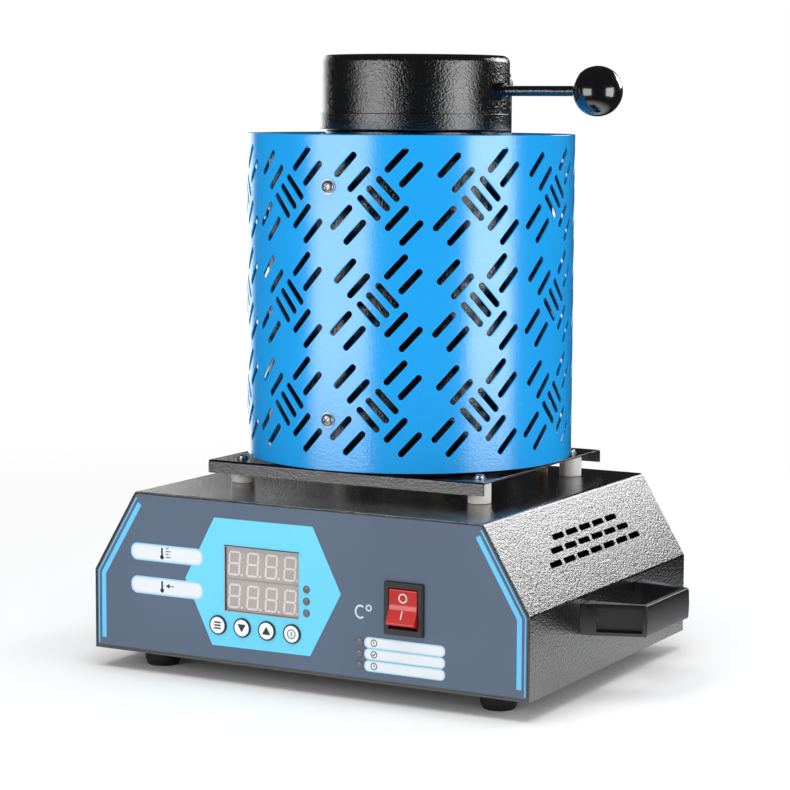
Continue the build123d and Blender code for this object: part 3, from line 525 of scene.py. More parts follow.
paints = {
    "hammered": hammeredPaint("hammeredBlack", (0.003, 0.003, 0.0035), (0.007, 0.0065, 0.0065), 1.2, 0.3, 0.11),
    "panelBlack": hammeredPaint("panelBlack", (0.008, 0.008, 0.009), (0.018, 0.017, 0.017), 1.0, 0.12, 0.3),
    "drumBlue": drumPaint("drumBlue", srgb(4, 158, 238), srgb(10, 170, 250)),
    "overlay": filmPaint("overlaySlate", srgb(74, 90, 111), srgb(87, 105, 128), 0.42),
    "cyanInk": filmPaint("cyanInk", srgb(98, 206, 238), srgb(108, 215, 246), 0.4),
    "stripeInk": filmPaint("stripeInk", srgb(88, 190, 246), srgb(102, 200, 252), 0.4),
    "paleInk": filmPaint("paleInk", srgb(196, 210, 226), srgb(214, 226, 238), 0.4),
    "navyInk": filmPaint("navyInk", srgb(20, 30, 44), srgb(32, 42, 58), 0.4),
    "rimInk": filmPaint("rimInk", srgb(150, 150, 154), srgb(176, 174, 176), 0.4),
    "labelInk": labelInk("labelInk", srgb(142, 204, 232), srgb(226, 231, 236)),
    "satinBlack": mouldedPlastic("satinBlack", (0.006, 0.006, 0.007), (0.011, 0.010, 0.011), 0.26, 0.6, 0.03,
                                 Specular_IOR_Level=0.9),
    "switchBlack": mouldedPlastic("switchBlack", (0.014, 0.014, 0.015), (0.026, 0.025, 0.026), 0.36, 0.4, 0.02),
    "ballBlack": mouldedPlastic("ballBlack", (0.003, 0.003, 0.004), (0.005, 0.005, 0.007), 0.12, 3.0, 0.01,
                                Specular_IOR_Level=1.0, Coat_Weight=1.0, Coat_Roughness=0.07,
                                Coat_IOR=1.65),
    "rockerRed": mouldedPlastic("rockerRed", srgb(176, 8, 10), srgb(198, 22, 24), 0.2, 0.8, 0.01,
                                Coat_Weight=0.6, Coat_Roughness=0.08, Specular_IOR_Level=0.7),
    "keyWhite": mouldedPlastic("keyWhite", srgb(228, 232, 236), srgb(244, 246, 248), 0.38, 0.5, 0.01),
    "zinc": platedSteel("zincPlate", (0.52, 0.53, 0.55), (0.80, 0.80, 0.80), 0.24),
    "probeSteel": platedSteel("probeSteel", (0.40, 0.38, 0.36), (0.62, 0.60, 0.58), 0.3),
    "aluminium": platedSteel("aluminium", (0.55, 0.56, 0.57), (0.75, 0.76, 0.77), 0.42),
    "heatingWire": platedSteel("heatingWire", (0.10, 0.09, 0.09), (0.22, 0.20, 0.19), 0.55),
    "glazedWhite": firedCeramic("glazedWhite", (0.98, 0.96, 0.88), (1.0, 0.98, 0.93), 0.24, 0.9, 0.015),
    "refractory": firedCeramic("refractory", srgb(196, 186, 166), srgb(224, 216, 198), 0.8, 1.4, 0.12),
    "fibre": fibreFelt("fibreFelt", srgb(206, 202, 190), srgb(240, 238, 230)),
    "rubber": softRubber("footRubber", (0.005, 0.005, 0.006), (0.014, 0.014, 0.015)),
    "graphite": graphiteBlock("graphite", (0.018, 0.018, 0.020), (0.045, 0.045, 0.048)),
    "windowGrey": glassyLens("windowGrey", (0.20, 0.18, 0.175), (0.24, 0.22, 0.21), 0.3, Alpha=0.08),
    "lampLens": glassyLens("lampLens", srgb(88, 84, 94), srgb(112, 104, 112), 0.25, Coat_Weight=0.5),
    "digitGround": mouldedPlastic("digitGround", srgb(186, 178, 174), srgb(198, 190, 186), 0.5),
    "digitPale": mouldedPlastic("digitPale", srgb(236, 230, 224), srgb(250, 246, 242), 0.45),
    "board": mouldedPlastic("boardGreen", (0.008, 0.06, 0.02), (0.015, 0.09, 0.03), 0.35, 1.5, 0.02),
    "wireCover": mouldedPlastic("wireCover", (0.20, 0.03, 0.02), (0.30, 0.05, 0.03), 0.45, 0.8, 0.02),
}
slotPaints = {
    "black_hammered": "hammered", "black_panel": "panelBlack", "drum_blue": "drumBlue",
    "overlay_blue": "overlay", "black_plastic": "satinBlack", "knob_plastic": "ballBlack",
    "foot_rubber": "rubber", "white_ceramic": "glazedWhite", "fibre": "fibre", "zinc_steel": "zinc",
    "graphite": "graphite", "heating_wire": "heatingWire", "probe_steel": "probeSteel",
    "key_white": "keyWhite", "window_grey": "windowGrey", "digit_grey": "digitGround",
    "lamp_lens": "lampLens", "rocker_red": "rockerRed", "board_green": "board",
    "switch_black": "switchBlack", "aluminium": "aluminium", "wire_cover": "wireCover",
}
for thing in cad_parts.values():
    for held in thing.material_slots:
        held.material = paints[slotPaints[held.material.name.split(".")[0]]]
for node in ("chamber", "chamber_floor", "element_leads", "lead_bushes"):
    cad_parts[node].material_slots[0].material = paints["refractory"]
print("finishes ready:", len(paints))


def newTree(name, inputs):              # an empty geometry tree; returns its wires by input name
    tree = bpy.data.node_groups.new(name, "GeometryNodeTree")
    for label, kind in inputs:
        tree.interface.new_socket(label, in_out="INPUT", socket_type=kind)
    tree.interface.new_socket("Result", in_out="OUTPUT", socket_type="NodeSocketGeometry")
    entry = tree.nodes.new("NodeGroupInput")
    return tree, {label: Wire(tree, entry.outputs[label]) for label, kind in inputs}


def endTree(tree, geometry, finish):
    real = geometry.node("GeometryNodeRealizeInstances", None, {"Geometry": geometry})
    painted = real.node("GeometryNodeSetMaterial", None, {"Geometry": real, "Material": finish})
    leave = tree.nodes.new("NodeGroupOutput")
    tree.links.new(painted.socket, leave.inputs[0])


def instancesOf(part, places):          # copies of an object on places, each turned by the place's own attribute
    solid = part.node("GeometryNodeObjectInfo", None, {"Object": part}, out="Geometry")
    turn = part.node("GeometryNodeInputNamedAttribute", {"data_type": "FLOAT_VECTOR"}, {"Name": "turn"})
    spin = part.node("FunctionNodeEulerToRotation", None, {"Euler": turn})
    sockets = {"Points": places, "Instance": solid, "Rotation": spin}
    return part.node("GeometryNodeInstanceOnPoints", None, sockets)


def scatterTree():                      # one part on every place
    inputs = [("Places", "NodeSocketGeometry"), ("Part", "NodeSocketObject"), ("Finish", "NodeSocketMaterial")]
    tree, wires = newTree("scatterPart", inputs)
    endTree(tree, instancesOf(wires["Part"], wires["Places"]), wires["Finish"])
    return tree


def perforateTree(name, wrapped):       # holes cut from a sheet, flat or wrapped round an upright cylinder
    inputs = [("Sheet", "NodeSocketGeometry"), ("Cutter", "NodeSocketObject"), ("Places", "NodeSocketObject"),
              ("Radius", "NodeSocketFloat"), ("Middle", "NodeSocketVector"), ("Finish", "NodeSocketMaterial")]
    tree, wires = newTree(name, inputs)
    spots = wires["Places"].node("GeometryNodeObjectInfo", None, {"Object": wires["Places"]}, out="Geometry")
    tools = instancesOf(wires["Cutter"], spots)
    tools = tools.node("GeometryNodeRealizeInstances", None, {"Geometry": tools})
    if wrapped:
        here = tools.node("GeometryNodeInputPosition")
        split = tree.nodes.new("ShaderNodeSeparateXYZ")
        tree.links.new(here.socket, split.inputs[0])
        across, out, up = (Wire(tree, socket) for socket in split.outputs)
        angle = across / wires["Radius"]
        reach = wires["Radius"] - out   # the cutters' depth runs inwards
        bent = {0: reach * angle.math("SINE", angle), 1: 0.0 - reach * angle.math("COSINE", angle), 2: up}
        around = angle.node("ShaderNodeCombineXYZ", None, bent)
        put = angle.node("ShaderNodeVectorMath", {"operation": "ADD"}, {0: around, 1: wires["Middle"]})
        tools = tools.node("GeometryNodeSetPosition", None, {"Geometry": tools, "Position": put})
    cut = tree.nodes.new("GeometryNodeMeshBoolean")
    cut.operation = "DIFFERENCE"
    cut.solver = "MANIFOLD"
    tree.links.new(wires["Sheet"].socket, cut.inputs["Mesh 1"])
    tree.links.new(tools.socket, cut.inputs["Mesh 2"])
    endTree(tree, Wire(tree, cut.outputs["Mesh"]), wires["Finish"])
    return tree


trees = {
    "scatter": scatterTree(),
    "perforateFlat": perforateTree("perforateFlat", False),
    "perforateRound": perforateTree("perforateRound", True),
}


def placesObject(name, places):         # points with a turn each, in millimetres and degrees
    mesh = bpy.data.meshes.new(name)
    mesh.from_pydata([Vector(spot) * mm for spot, turn in places], [], [])
    turns = mesh.attributes.new("turn", "FLOAT_VECTOR", "POINT")
    for item, (spot, turn) in zip(turns.data, places):
        item.vector = [radians(angle) for angle in turn]
    thing = bpy.data.objects.new(name, mesh)
    bpy.context.scene.collection.objects.link(thing)
    return thing


def runTree(thing, tree, values):       # puts a tree on an object, then keeps its result as a plain mesh
    grow = thing.modifiers.new("grow", "NODES")
    grow.node_group = tree
    for item in tree.interface.items_tree:
        if item.in_out == "INPUT" and item.name in values:
            grow[item.identifier] = values[item.name]
    return settled(thing, even=False)


def scattered(name, shape, places, paint, body="base", stands=(), even=True):
    part = shape if isinstance(shape, bpy.types.Object) else settled(makeObject(name + "Part", shape), even)
    thing = placesObject(name, places)
    runTree(thing, trees["scatter"], {"Part": part, "Finish": paint})
    dropObject(part)
    return addPiece(thing, paint, body, stands)


def perforated(sheet, tree, cutter, places, paint, radius=0.0, middle=(0, 0, 0)):
    spots = placesObject(sheet.name + "Places", places)
    values = {"Cutter": cutter, "Places": spots, "Finish": paint, "Radius": radius * mm,
              "Middle": [value * mm for value in middle]}
    runTree(sheet, tree, values)
    dropObject(cutter)
    dropObject(spots)
    return sheet


def slotCutter(name, long, wide, deep, lip, corner=None):   # flat slot along X, its mouth flared; depth along +Y
    outline = rectangle(long, wide, corner or wide / 2 - 0.001, 6)
    stops = [(deep, 0.0), (lip, 0.0)]
    stops += [(lip * (1 - sin(radians(a))), -lip * (1 - cos(radians(a)))) for a in (25, 45, 60)]
    stops.append((-lip * 2, -lip * 4))
    return makeObject(name, stacked(outline, stops, onFront))


drum = {
    "radius": boxOf("outer_cover")[1].x,
    "sheet": 1.0,
    "low": boxOf("outer_cover")[0].z,
    "high": boxOf("outer_cover")[1].z,
    "facets": 360,
    "rim": 0.3,
    "slotLength": 19.0,
    "slotWidth": 3.9,
    "slotLip": 0.22,
    "slotTurn": 47.0,
    "groups": 10,
    "groupAngle": 35.0,
    "rows": 3,
    "rowPitch": 62.2,
    "firstRow": 36.7,                   # middle of the first row under the drum's top
    "pairs": [(-16.0, 15.2), (15.0, 18.2), (-18.5, -15.7), (15.3, -15.7)],
    "pairStep": 8.5,
    "tripleStep": 5.6,
    "seamWidth": 14.0,
    "seamThick": 1.0,
    "screwRise": (30.4, 168.0),
    "topHole": 55.0,
}


def slotPlaces():                       # where each slot's middle is on the unrolled cover, and its turn
    half, step, turn = drum["pairStep"] / 2, drum["tripleStep"], drum["slotTurn"]
    cluster = []
    for x, z in drum["pairs"]:
        cluster += [(x - half, z + half, -turn), (x + half, z - half, -turn)]
    cluster += [(i * step, i * step, turn) for i in (-1, 0, 1)]
    places = []
    for group in range(drum["groups"]):
        swing = radians((group - (drum["groups"] - 1) / 2) * drum["groupAngle"]) * drum["radius"]
        for row in range(drum["rows"]):
            height = drum["high"] - drum["firstRow"] - row * drum["rowPitch"]
            places += [((swing + x, 0.0, height + z), (0.0, spin, 0.0)) for x, z, spin in cluster]
    return places


def roundNormals(mesh, middle, radius, sheet):      # curved walls shaded as true cylinders
    normals = []
    for face in mesh.polygons:
        outward = Vector((face.normal.x, face.normal.y, 0.0))
        for index in face.vertices:
            spot = mesh.vertices[index].co
            radial = Vector((spot.x - middle.x * mm, spot.y - middle.y * mm, 0.0))
            lean = radial.normalized().dot(outward)
            reach = radial.length / mm
            onWall = abs(reach - radius) < 0.02 or abs(reach - radius + sheet) < 0.02
            if onWall and abs(lean) > 0.985:
                normals.append(radial.normalized() * (1 if lean > 0 else -1))
            else:
                normals.append(face.normal.copy())
    mesh.normals_split_custom_set(normals)


def makeCover():
    radius, inner, rim = drum["radius"], drum["radius"] - drum["sheet"], drum["rim"]
    low, high, middle = drum["low"], drum["high"], drumMiddle.y
    profile = softProfile([(inner, low), (radius, low), (radius, high), (inner, high)], rim, 3)
    sheet = makeObject("drumCover", lathe(profile, (0, middle, 0), "Z", drum["facets"]))
    cutter = slotCutter("slotTool", drum["slotLength"], drum["slotWidth"], 2.5, drum["slotLip"])
    perforated(sheet, trees["perforateRound"], cutter, slotPlaces(), paints["drumBlue"], radius, (0, middle, 0))
    sheet.data.shade_smooth()
    roundNormals(sheet.data, drumMiddle, radius, drum["sheet"])
    addPiece(sheet, paints["drumBlue"], "base", ["outer_cover"])
    half = drum["seamWidth"] / 2 / radius
    rings = []
    for reach, inset in ((-0.02, 0.0), (drum["seamThick"] - rim, 0.0), (drum["seamThick"] - 0.02, rim)):
        ring = []
        for z, way in ((low + 1 + inset, 1), (high - 1 - inset, -1)):
            for k in range(9):
                angle = way * (k / 4 - 1) * (half - inset / radius)
                ring.append(((radius + reach) * sin(angle), middle + (radius + reach) * cos(angle), z))
        rings.append(ring)
    piece("coverSeam", loft(rings), paints["drumBlue"])


def makeDrumTop():
    low, high = boxOf("drum_top")
    outer, hole = high.x, drum["topHole"]
    profile = [(hole, high.z - 1.0), (outer - 1.0, high.z - 1.0), (outer - 1.0, low.z), (outer, low.z),
               (outer, high.z), (hole, high.z)]
    shape = lathe(softProfile(profile, [0.3, 0.2, 0.2, 0.2, 1.2, 0.3]), (0, drumMiddle.y, 0), "Z", 180)
    piece("drumTop", shape, paints["drumBlue"], "base", ["drum_top"])
    low, high = boxOf("inner_casing")
    outer = high.x
    profile = [(0.0, low.z), (outer, low.z), (outer, high.z), (outer - 1, high.z), (outer - 1, low.z + 1),
               (0.0, low.z + 1)]
    shape = lathe(softProfile(profile, [0, 2.0, 0.4, 0.4, 1.0, 0]), (0, drumMiddle.y, 0), "Z", 144)
    piece("innerCasing", shape, paints["hammered"], "base", ["inner_casing"])


def makeHotCore():                      # what shows when the lid is open
    low, high = boxOf("mouth_ring")
    outer = high.x
    profile = [(32.0, low.z), (outer, low.z), (outer, high.z), (32.0, high.z)]
    shape = lathe(softProfile(profile, [0.3, 0.3, 1.2, 1.2]), (0, drumMiddle.y, 0), "Z", 120)
    ring = piece("mouthRing", shape, [paints["refractory"], paints["hammered"]], "base", ["mouth_ring"])
    for face in ring.data.polygons:     # its outer wall painted black hammered: painted shade for the dark gap under the lid
        across = face.center.xy - Vector((0, drumMiddle.y)) * mm
        face.material_index = int(across.length > (outer - 0.6) * mm)
    low, high = boxOf("crucible")
    outer, bore, thick = high.x, 21.0, 10.0
    profile = [(0, low.z), (outer - 2.5, low.z), (outer, high.z), (bore, high.z), (bore, low.z + thick),
               (0, low.z + thick)]
    shape = lathe(softProfile(profile, [0, 1.5, 0.8, 0.8, 4.0, 0], 5), (0, drumMiddle.y, 0), "Z", 96)
    piece("meltingCup", shape, paints["graphite"], "base", ["crucible"])


makeCover()
makeDrumTop()
makeHotCore()
print("drum ready")

lid = {"round": 4.5, "sheet": 1.2, "bandThick": 0.95, "lip": 45.0, "plug": 27.5, "ballFlat": 6.0}


def makeLid():
    spot = (lidMiddle.x, lidMiddle.y, 0)
    low, high = boxOf("lid_shell")
    outer = (high.x - low.x) / 2
    inner = outer - lid["sheet"]
    under = high.z - lid["sheet"]
    profile = [(0.0, under), (inner, under), (inner, low.z), (outer, low.z), (outer, high.z), (0.0, high.z)]
    shape = lathe(softProfile(profile, [0, 3.2, 0.3, 0.3, lid["round"], 0], 8), spot, "Z", 160)
    piece("lidCap", shape, paints["hammered"], "lid", ["lid_shell"])
    low, high = boxOf("lid_band")
    outer = (high.x - low.x) / 2
    thick, lip = lid["bandThick"], lid["lip"]
    profile = [(outer - thick, low.z + 0.75), (lip, low.z + 0.75), (lip, low.z), (outer, low.z),
               (outer, high.z), (outer - thick, high.z)]
    shape = lathe(softProfile(profile, [0, 0.2, 0.2, 0.5, 0.4, 0.2], 4), spot, "Z", 160)
    piece("lidBand", shape, paints["hammered"], "lid", ["lid_band"])
    low, high = boxOf("lid_insulation")
    outer, plug = (high.x - low.x) / 2, lid["plug"]
    profile = [(0.0, low.z), (plug, low.z), (plug, low.z + 6.8), (outer, low.z + 6.8), (outer, high.z),
               (0.0, high.z)]
    shape = lathe(softProfile(profile, [0, 1.2, 0.6, 0.6, 4.0, 0], 4), spot, "Z", 120)
    piece("lidFilling", shape, paints["fibre"], "lid", ["lid_insulation"])


def makeKnob():
    rodLow, rodHigh = boxOf("lid_rod")
    spot = (0, lidMiddle.y, (rodLow.z + rodHigh.z) / 2)
    radius = (rodHigh.z - rodLow.z) / 2
    shape = lathe([(0, rodLow.x), (radius, rodLow.x), (radius, rodHigh.x), (0, rodHigh.x)], spot, "X", 40)
    piece("lidRod", shape, paints["hammered"], "lid", ["lid_rod"])
    low, high = boxOf("ball_knob")
    size = (high.z - low.z) / 2
    middle = high.x - size
    flat = lid["ballFlat"]
    start = atan2(flat, -sqrt(size ** 2 - flat ** 2))
    profile = [(0, middle + size * cos(start))]
    profile += [(size * sin(start * (1 - k / 64)), middle + size * cos(start * (1 - k / 64))) for k in range(64)]
    profile.append((0, middle + size))
    piece("ballKnob", lathe(profile, spot, "X", 96), paints["ballBlack"], "lid", ["ball_knob"])


def nutShape(across, tall, hole, steps=48):     # chamfered hexagon nut standing on the origin
    def ring(height, limit):
        points = []
        for k in range(steps):
            angle = 2 * pi * k / steps
            flat = across / 2 / cos((angle + pi / 6) % (pi / 3) - pi / 6)
            reach = min(flat, limit)
            points.append((reach * cos(angle), reach * sin(angle), height))
        return points
    full, trimmed = across, across / 2 * 1.03
    rings = [ring(0.0, trimmed), ring(tall * 0.12, full), ring(tall * 0.88, full), ring(tall, trimmed),
             ring(tall, hole), ring(0.0, hole)]
    return loft(rings, closed=True)


def washerShape(outer, inner, thick):
    return lathe(softProfile([(inner, 0), (outer, 0), (outer, thick), (inner, thick)], 0.12), steps=48)


def panScrew(name, head, tall, shank, long):    # head up, seat on the origin, cross recess
    dome = [(head * sin(radians(a)), tall * (0.35 + 0.65 * cos(radians(a)))) for a in range(0, 91, 15)]
    profile = [(0.0, tall)] + dome[1:] + [(head, 0.0), (shank, 0.0), (shank, -long), (0.0, -long)]
    screw = makeObject(name, lathe(profile, steps=40))
    arm, slim = head * 0.56, head * 0.13
    cross = [(arm, -slim), (arm, slim), (slim, slim), (slim, arm), (-slim, arm), (-slim, slim), (-arm, slim),
             (-arm, -slim), (-slim, -slim), (-slim, -arm), (slim, -arm), (slim, -slim)]
    tool = makeObject(name + "Tool", stacked(cross, [(tall * 0.3, 0.12), (tall + 1, 0.0)], onTop))
    return settled(carved(screw, tool))


fasteners = {"m3": (2.8, 2.0, 1.5), "m4": (3.8, 2.4, 2.0), "spins": (12, 71, 38, 55, 24, 83, 5, 47)}


def spin(i):                            # no two cross recesses stand alike
    return fasteners["spins"][i % len(fasteners["spins"])]


def makeDrumFasteners():
    radius, middle = drum["radius"], drumMiddle.y
    screws, washers = [], []
    for side in (-1, 1):
        seat = radius + (drum["seamThick"] if side > 0 else 0.0)
        for i, rise in enumerate(drum["screwRise"]):
            turn = (-90 * side, spin(i + side), 0)
            height = drum["low"] + rise
            screws.append(((0, middle + side * (seat + 0.6), height), turn))
            washers.append(((0, middle + side * seat, height), turn))
    screw = panScrew("coverScrewPart", *fasteners["m4"], 17.0)
    scattered("coverScrews", screw, screws, paints["zinc"], "base", ["cover_screws"])
    scattered("coverWashers", washerShape(4.5, 2.1, 0.6), washers, paints["zinc"], "base",
              ["cover_washers"])


def makeRodNuts():
    low, high = boxOf("rod_nuts")
    tall = 3.6
    spot = (lidMiddle.y, (low.z + high.z) / 2)
    places = [((high.x - tall, *spot), (0, 90, 0)), ((low.x, *spot), (0, 90, 0))]
    scattered("rodNuts", nutShape(10.0, tall, 3.12), places, paints["hammered"], "lid", ["rod_nuts"],
              even=False)


hinge = {
    "y": lidMiddle.y + 71.5,            # pin
    "z": boxOf("lid_shell")[1].z - 16.0,
    "radius": 2.5,
    "sheet": 1.5,
    "ear": 26.0,                        # inner faces of the fixed ears
    "earRound": 8.0,
    "leafHalf": 25.0,
    "leafRound": 6.8,
    "leafLow": -34.0,                   # under the lid's top
    "leafHigh": -3.5,
    "screwX": 18.0,
}


def makeHinge():
    x, y, z, sheet = lidMiddle.x, hinge["y"], hinge["z"], hinge["sheet"]
    top, lidTop = boxOf("drum_top")[1].z, boxOf("lid_shell")[1].z
    size, wide = hinge["earRound"], hinge["ear"] + sheet
    parts = [slab(rectangle(2 * wide, 18.0, 1.0, 4, (x, y - 1)), top, top + sheet, 0.3, onTop)]
    ear = [Vector((y - 10, top)), Vector((y + size, top))] + arcPoints(size, 0, 180, 16, (y, z))
    for start in (x - wide, x + wide - sheet):
        parts.append(slab(ear, start, start + sheet, 0.25, onSide))
    piece("hingeBracket", joined(*parts), paints["hammered"], "base", ["hinge_bracket"])
    half, size = hinge["leafHalf"], hinge["leafRound"]
    lidRadius = (boxOf("lid_shell")[1].x - boxOf("lid_shell")[0].x) / 2
    low, high = lidTop + hinge["leafLow"], lidTop + hinge["leafHigh"]
    outer, inner = lidRadius + 1.6, lidRadius + 0.1
    swing = asin(half / outer) * 180 / pi
    strap = arcPoints(outer, 90 - swing, 90 + swing, 24, (x, lidMiddle.y))
    strap += arcPoints(inner, 90 + swing, 90 - swing, 24, (x, lidMiddle.y))
    parts = [slab(strap, low, high, 0.3, onTop)]
    near = lidMiddle.y + sqrt(inner ** 2 - (half - sheet) ** 2)
    ear = [Vector((near, low))] + arcPoints(size, -107, 39, 16, (y, z))
    ear += [Vector((lidMiddle.y + lidRadius - 2.5, high)), Vector((near, high))]
    for start in (x - half, x + half - sheet):
        parts.append(slab(ear, start, start + sheet, 0.25, onSide))
    piece("lidLeaf", joined(*parts), paints["hammered"], "lid", ["lid_leaf"])
    radius = hinge["radius"]
    profile = [(0, x - wide - 0.1), (radius, x - wide - 0.1), (radius, x + wide), (4.2, x + wide),
               (4.2, x + wide + 3), (0, x + wide + 3)]
    pin = lathe(softProfile(profile, [0, 0.2, 0, 0.2, 1.2, 0]), (0, y, z), "X", 40)
    turn = Matrix.Translation((x - wide, y, z)) @ Matrix.Rotation(-pi / 2, 4, "Y")
    piece("hingePin", joined(pin, moved(nutShape(8.0, 3.4, 1.0), turn)), paints["zinc"], "base",
          ["hinge_pin"])


makeLid()
makeKnob()
makeDrumFasteners()
makeRodNuts()
makeHinge()
print("lid and hinge ready")


def bodyOutline(inset, low):            # closed outline of the base's cross-section, its bends rounded
    half, floor = base["half"] - inset, base["floor"]
    shoulder = floor + base["sideHeight"] - inset * (base["slant"] - base["rise"]) / base["run"]
    deckX = base["deckHalf"] - inset * (base["slant"] - base["run"]) / base["rise"]
    top = floor + base["height"] - inset
    points = [(half, low), (half, shoulder), (deckX, top), (-deckX, top), (-half, shoulder), (-half, low)]
    bend = max(0.4, base["bend"] - inset)
    return rounded(points, [0, bend, bend, bend, bend, 0], 6)


vents = {"rows": [(23.2, 7), (30.8, 6), (38.4, 5)], "pitch": 19.0, "long": 15.3, "wide": 3.3, "corner": 1.0,
         "lip": 0.25, "shift": 2.4}


def ventTools(side):                    # a cutter lying on a sloping side, and its places
    run, rise, slant = base["run"], base["rise"], base["slant"]
    tool = slotCutter("ventTool", vents["long"], vents["wide"], 3.0, vents["lip"], vents["corner"])
    tool.data.transform(Matrix.Rotation(radians(90 * side), 4, "Z") @ Matrix.Rotation(-atan2(run, rise), 4, "X"))
    places = []
    for height, count in vents["rows"]:
        x = side * (base["half"] - run * height / slant)
        z = base["floor"] + base["sideHeight"] + rise * height / slant
        for i in range(count):
            y = base["middle"] + vents["shift"] + (i - (count - 1) / 2) * vents["pitch"]
            places.append(((x, y, z), (0, 0, 0)))
    return tool, places


def makeShell():
    sheet, lip, half = base["sheet"], base["lip"], base["half"]
    foot = base["floor"] + sheet
    outer, inner = bodyOutline(0.0, foot), bodyOutline(sheet, foot)
    inside = [Vector((-half + lip, foot)), Vector((-half + lip, foot + sheet)),
              Vector((-half + sheet, foot + sheet))]
    inside += inner[::-1][1:-1]
    inside += [Vector((half - sheet, foot + sheet)), Vector((half - lip, foot + sheet)),
               Vector((half - lip, foot))]
    thing = makeObject("baseShell", slab(outer + inside, base["front"], base["rear"], 0.3, onFront, 2), 30)
    for side in (-1, 1):
        cutter, places = ventTools(side)
        perforated(thing, trees["perforateFlat"], cutter, places, paints["hammered"])
    thing.data.shade_smooth()
    thing.data.set_sharp_from_angle(angle=radians(30))
    addPiece(settled(thing), paints["hammered"], "base", ["base_shell"])


def makePlate():
    low, high = boxOf("drum_plate")
    sheet = base["sheet"]
    section = [(low.y, low.z), (low.y, high.z), (high.y, high.z), (high.y, low.z), (high.y - sheet, low.z),
               (high.y - sheet, high.z - sheet), (low.y + sheet, high.z - sheet), (low.y + sheet, low.z)]
    section = rounded(section, [0, 1.8, 1.8, 0, 0, 0.6, 0.6, 0], 5)
    piece("drumPlate", slab(section, low.x, high.x, 0.3, onSide), paints["hammered"], "base",
          ["drum_plate"])


stands = {"x": 82.4, "front": -47.4, "rear": 80.9, "radius": 7.0, "hole": 2.2, "edge": 0.6}


def makeStands():                       # ceramic stand-offs with their screws and washers
    low, high = boxOf("standoffs")
    plateTop = boxOf("drum_plate")[1].z
    radius, hole, edge = stands["radius"], stands["hole"], stands["edge"]
    profile = [(hole, 0), (radius, 0), (radius, high.z - low.z), (hole, high.z - low.z)]
    shape = lathe(softProfile(profile, [0.2, edge, edge, 0.2]), steps=64)
    spots = [(side * stands["x"], base["middle"] + y) for side in (-1, 1) for y in (stands["front"], stands["rear"])]
    scattered("standOffs", shape, [((x, y, low.z), (0, 0, 0)) for x, y in spots], paints["glazedWhite"],
              "base", ["standoffs"])
    scattered("standWashers", washerShape(3.7, 1.6, 0.5), [((x, y, plateTop), (0, 0, 0)) for x, y in spots],
              paints["zinc"], "base", ["standoff_washers"])
    screw = panScrew("standScrewPart", *fasteners["m3"], 19.6)
    scattered("standScrews", screw, [((x, y, plateTop + 0.5), (0, 0, spin(i))) for i, (x, y) in enumerate(spots)],
              paints["zinc"], "base", ["standoff_screws"])


def makeFeet():
    low, high = boxOf("feet")
    tall = high.z - low.z
    profile = [(2.2, tall), (11.0, tall), (11.0, 4.0), (9.4, 0.0), (4.2, 0.0), (4.2, 5.0), (2.2, 5.0)]
    shape = lathe(softProfile(profile, [0.2, 0.8, 2.5, 1.0, 0.5, 0.2, 0.2]), steps=72)
    spots = [(side * (high.x - 11.0), base["middle"] + way * 87.0) for side in (-1, 1) for way in (-1, 1)]
    scattered("feetRound", shape, [((x, y, low.z), (0, 0, 0)) for x, y in spots], paints["rubber"], "base",
              ["feet"])
    screw = panScrew("footScrewPart", *fasteners["m4"], 12.0)
    scattered("footScrews", screw, [((x, y, 5.0), (180, 0, spin(i))) for i, (x, y) in enumerate(spots)],
              paints["zinc"], "base", ["foot_screws"])


handle = {
    "root": 44.4, "grip": 32.6, "wall": 4.4, "round": 1.2,
    "swell": [(0.0, 1.5), (0.12, 1.05), (0.45, 0.62), (1.1, 0.38), (3.6, 0.2), (9.4, 0.0)],  # height, drawn in
    "recessX": 21.3, "recessLong": 27.0, "recessDeep": 4.5, "recessRim": 2.2,
}


def makeHandle(node, name, side):       # moulded bow, its outer face swelling a little at mid height
    low, high = boxOf(node)
    near = base["half"] + 0.02
    far = max(abs(low.x), abs(high.x))
    root, grip, wall = handle["root"], handle["grip"], handle["wall"]
    outline = [(near, -root - 2), (near + 3, -root), (far, -grip), (far, grip), (near + 3, root),
               (near, root + 2), (near, root - 12), (near + 5, root - 12), (far - wall, grip - wall),
               (far - wall, wall - grip), (near + 5, 12 - root), (near, 12 - root)]
    corner = handle["round"]
    sizes = [0, 2 * corner, corner, corner, 2 * corner, 0, 0, corner, corner, corner, corner, 0]
    outline = [(side * p.x, base["middle"] + p.y) for p in rounded(outline, sizes, 4)]
    stops = [(low.z + rise, inset) for rise, inset in handle["swell"]]
    stops += [(high.z - rise, inset) for rise, inset in handle["swell"][-2::-1]]
    thing = makeObject(name, stacked(outline, stops, onTop))
    reach = far - near
    slant = atan2(root - grip, reach - 3)
    armY = root - (handle["recessX"] - 3) * (root - grip) / (reach - 3)
    deep, rim = handle["recessDeep"], handle["recessRim"]
    tools = []
    for way in (-1, 1):
        box = slab(rectangle(handle["recessLong"], 2 * deep, 0.4, 3), low.z + rim, high.z - rim, 0.4, onTop)
        turn = Matrix.Translation((side * (near + handle["recessX"]), base["middle"] + way * armY, 0))
        turn = turn @ Matrix.Rotation(-way * side * slant, 4, "Z")
        tools.append(makeObject("recessTool", moved(box, turn)))
    addPiece(settled(carved(thing, *tools)), paints["satinBlack"], "base", [node])


makeShell()
makePlate()
makeStands()
makeFeet()
makeHandle("handle_right", "rightHandle", 1)
makeHandle("handle_left", "leftHandle", -1)
print("base ready")

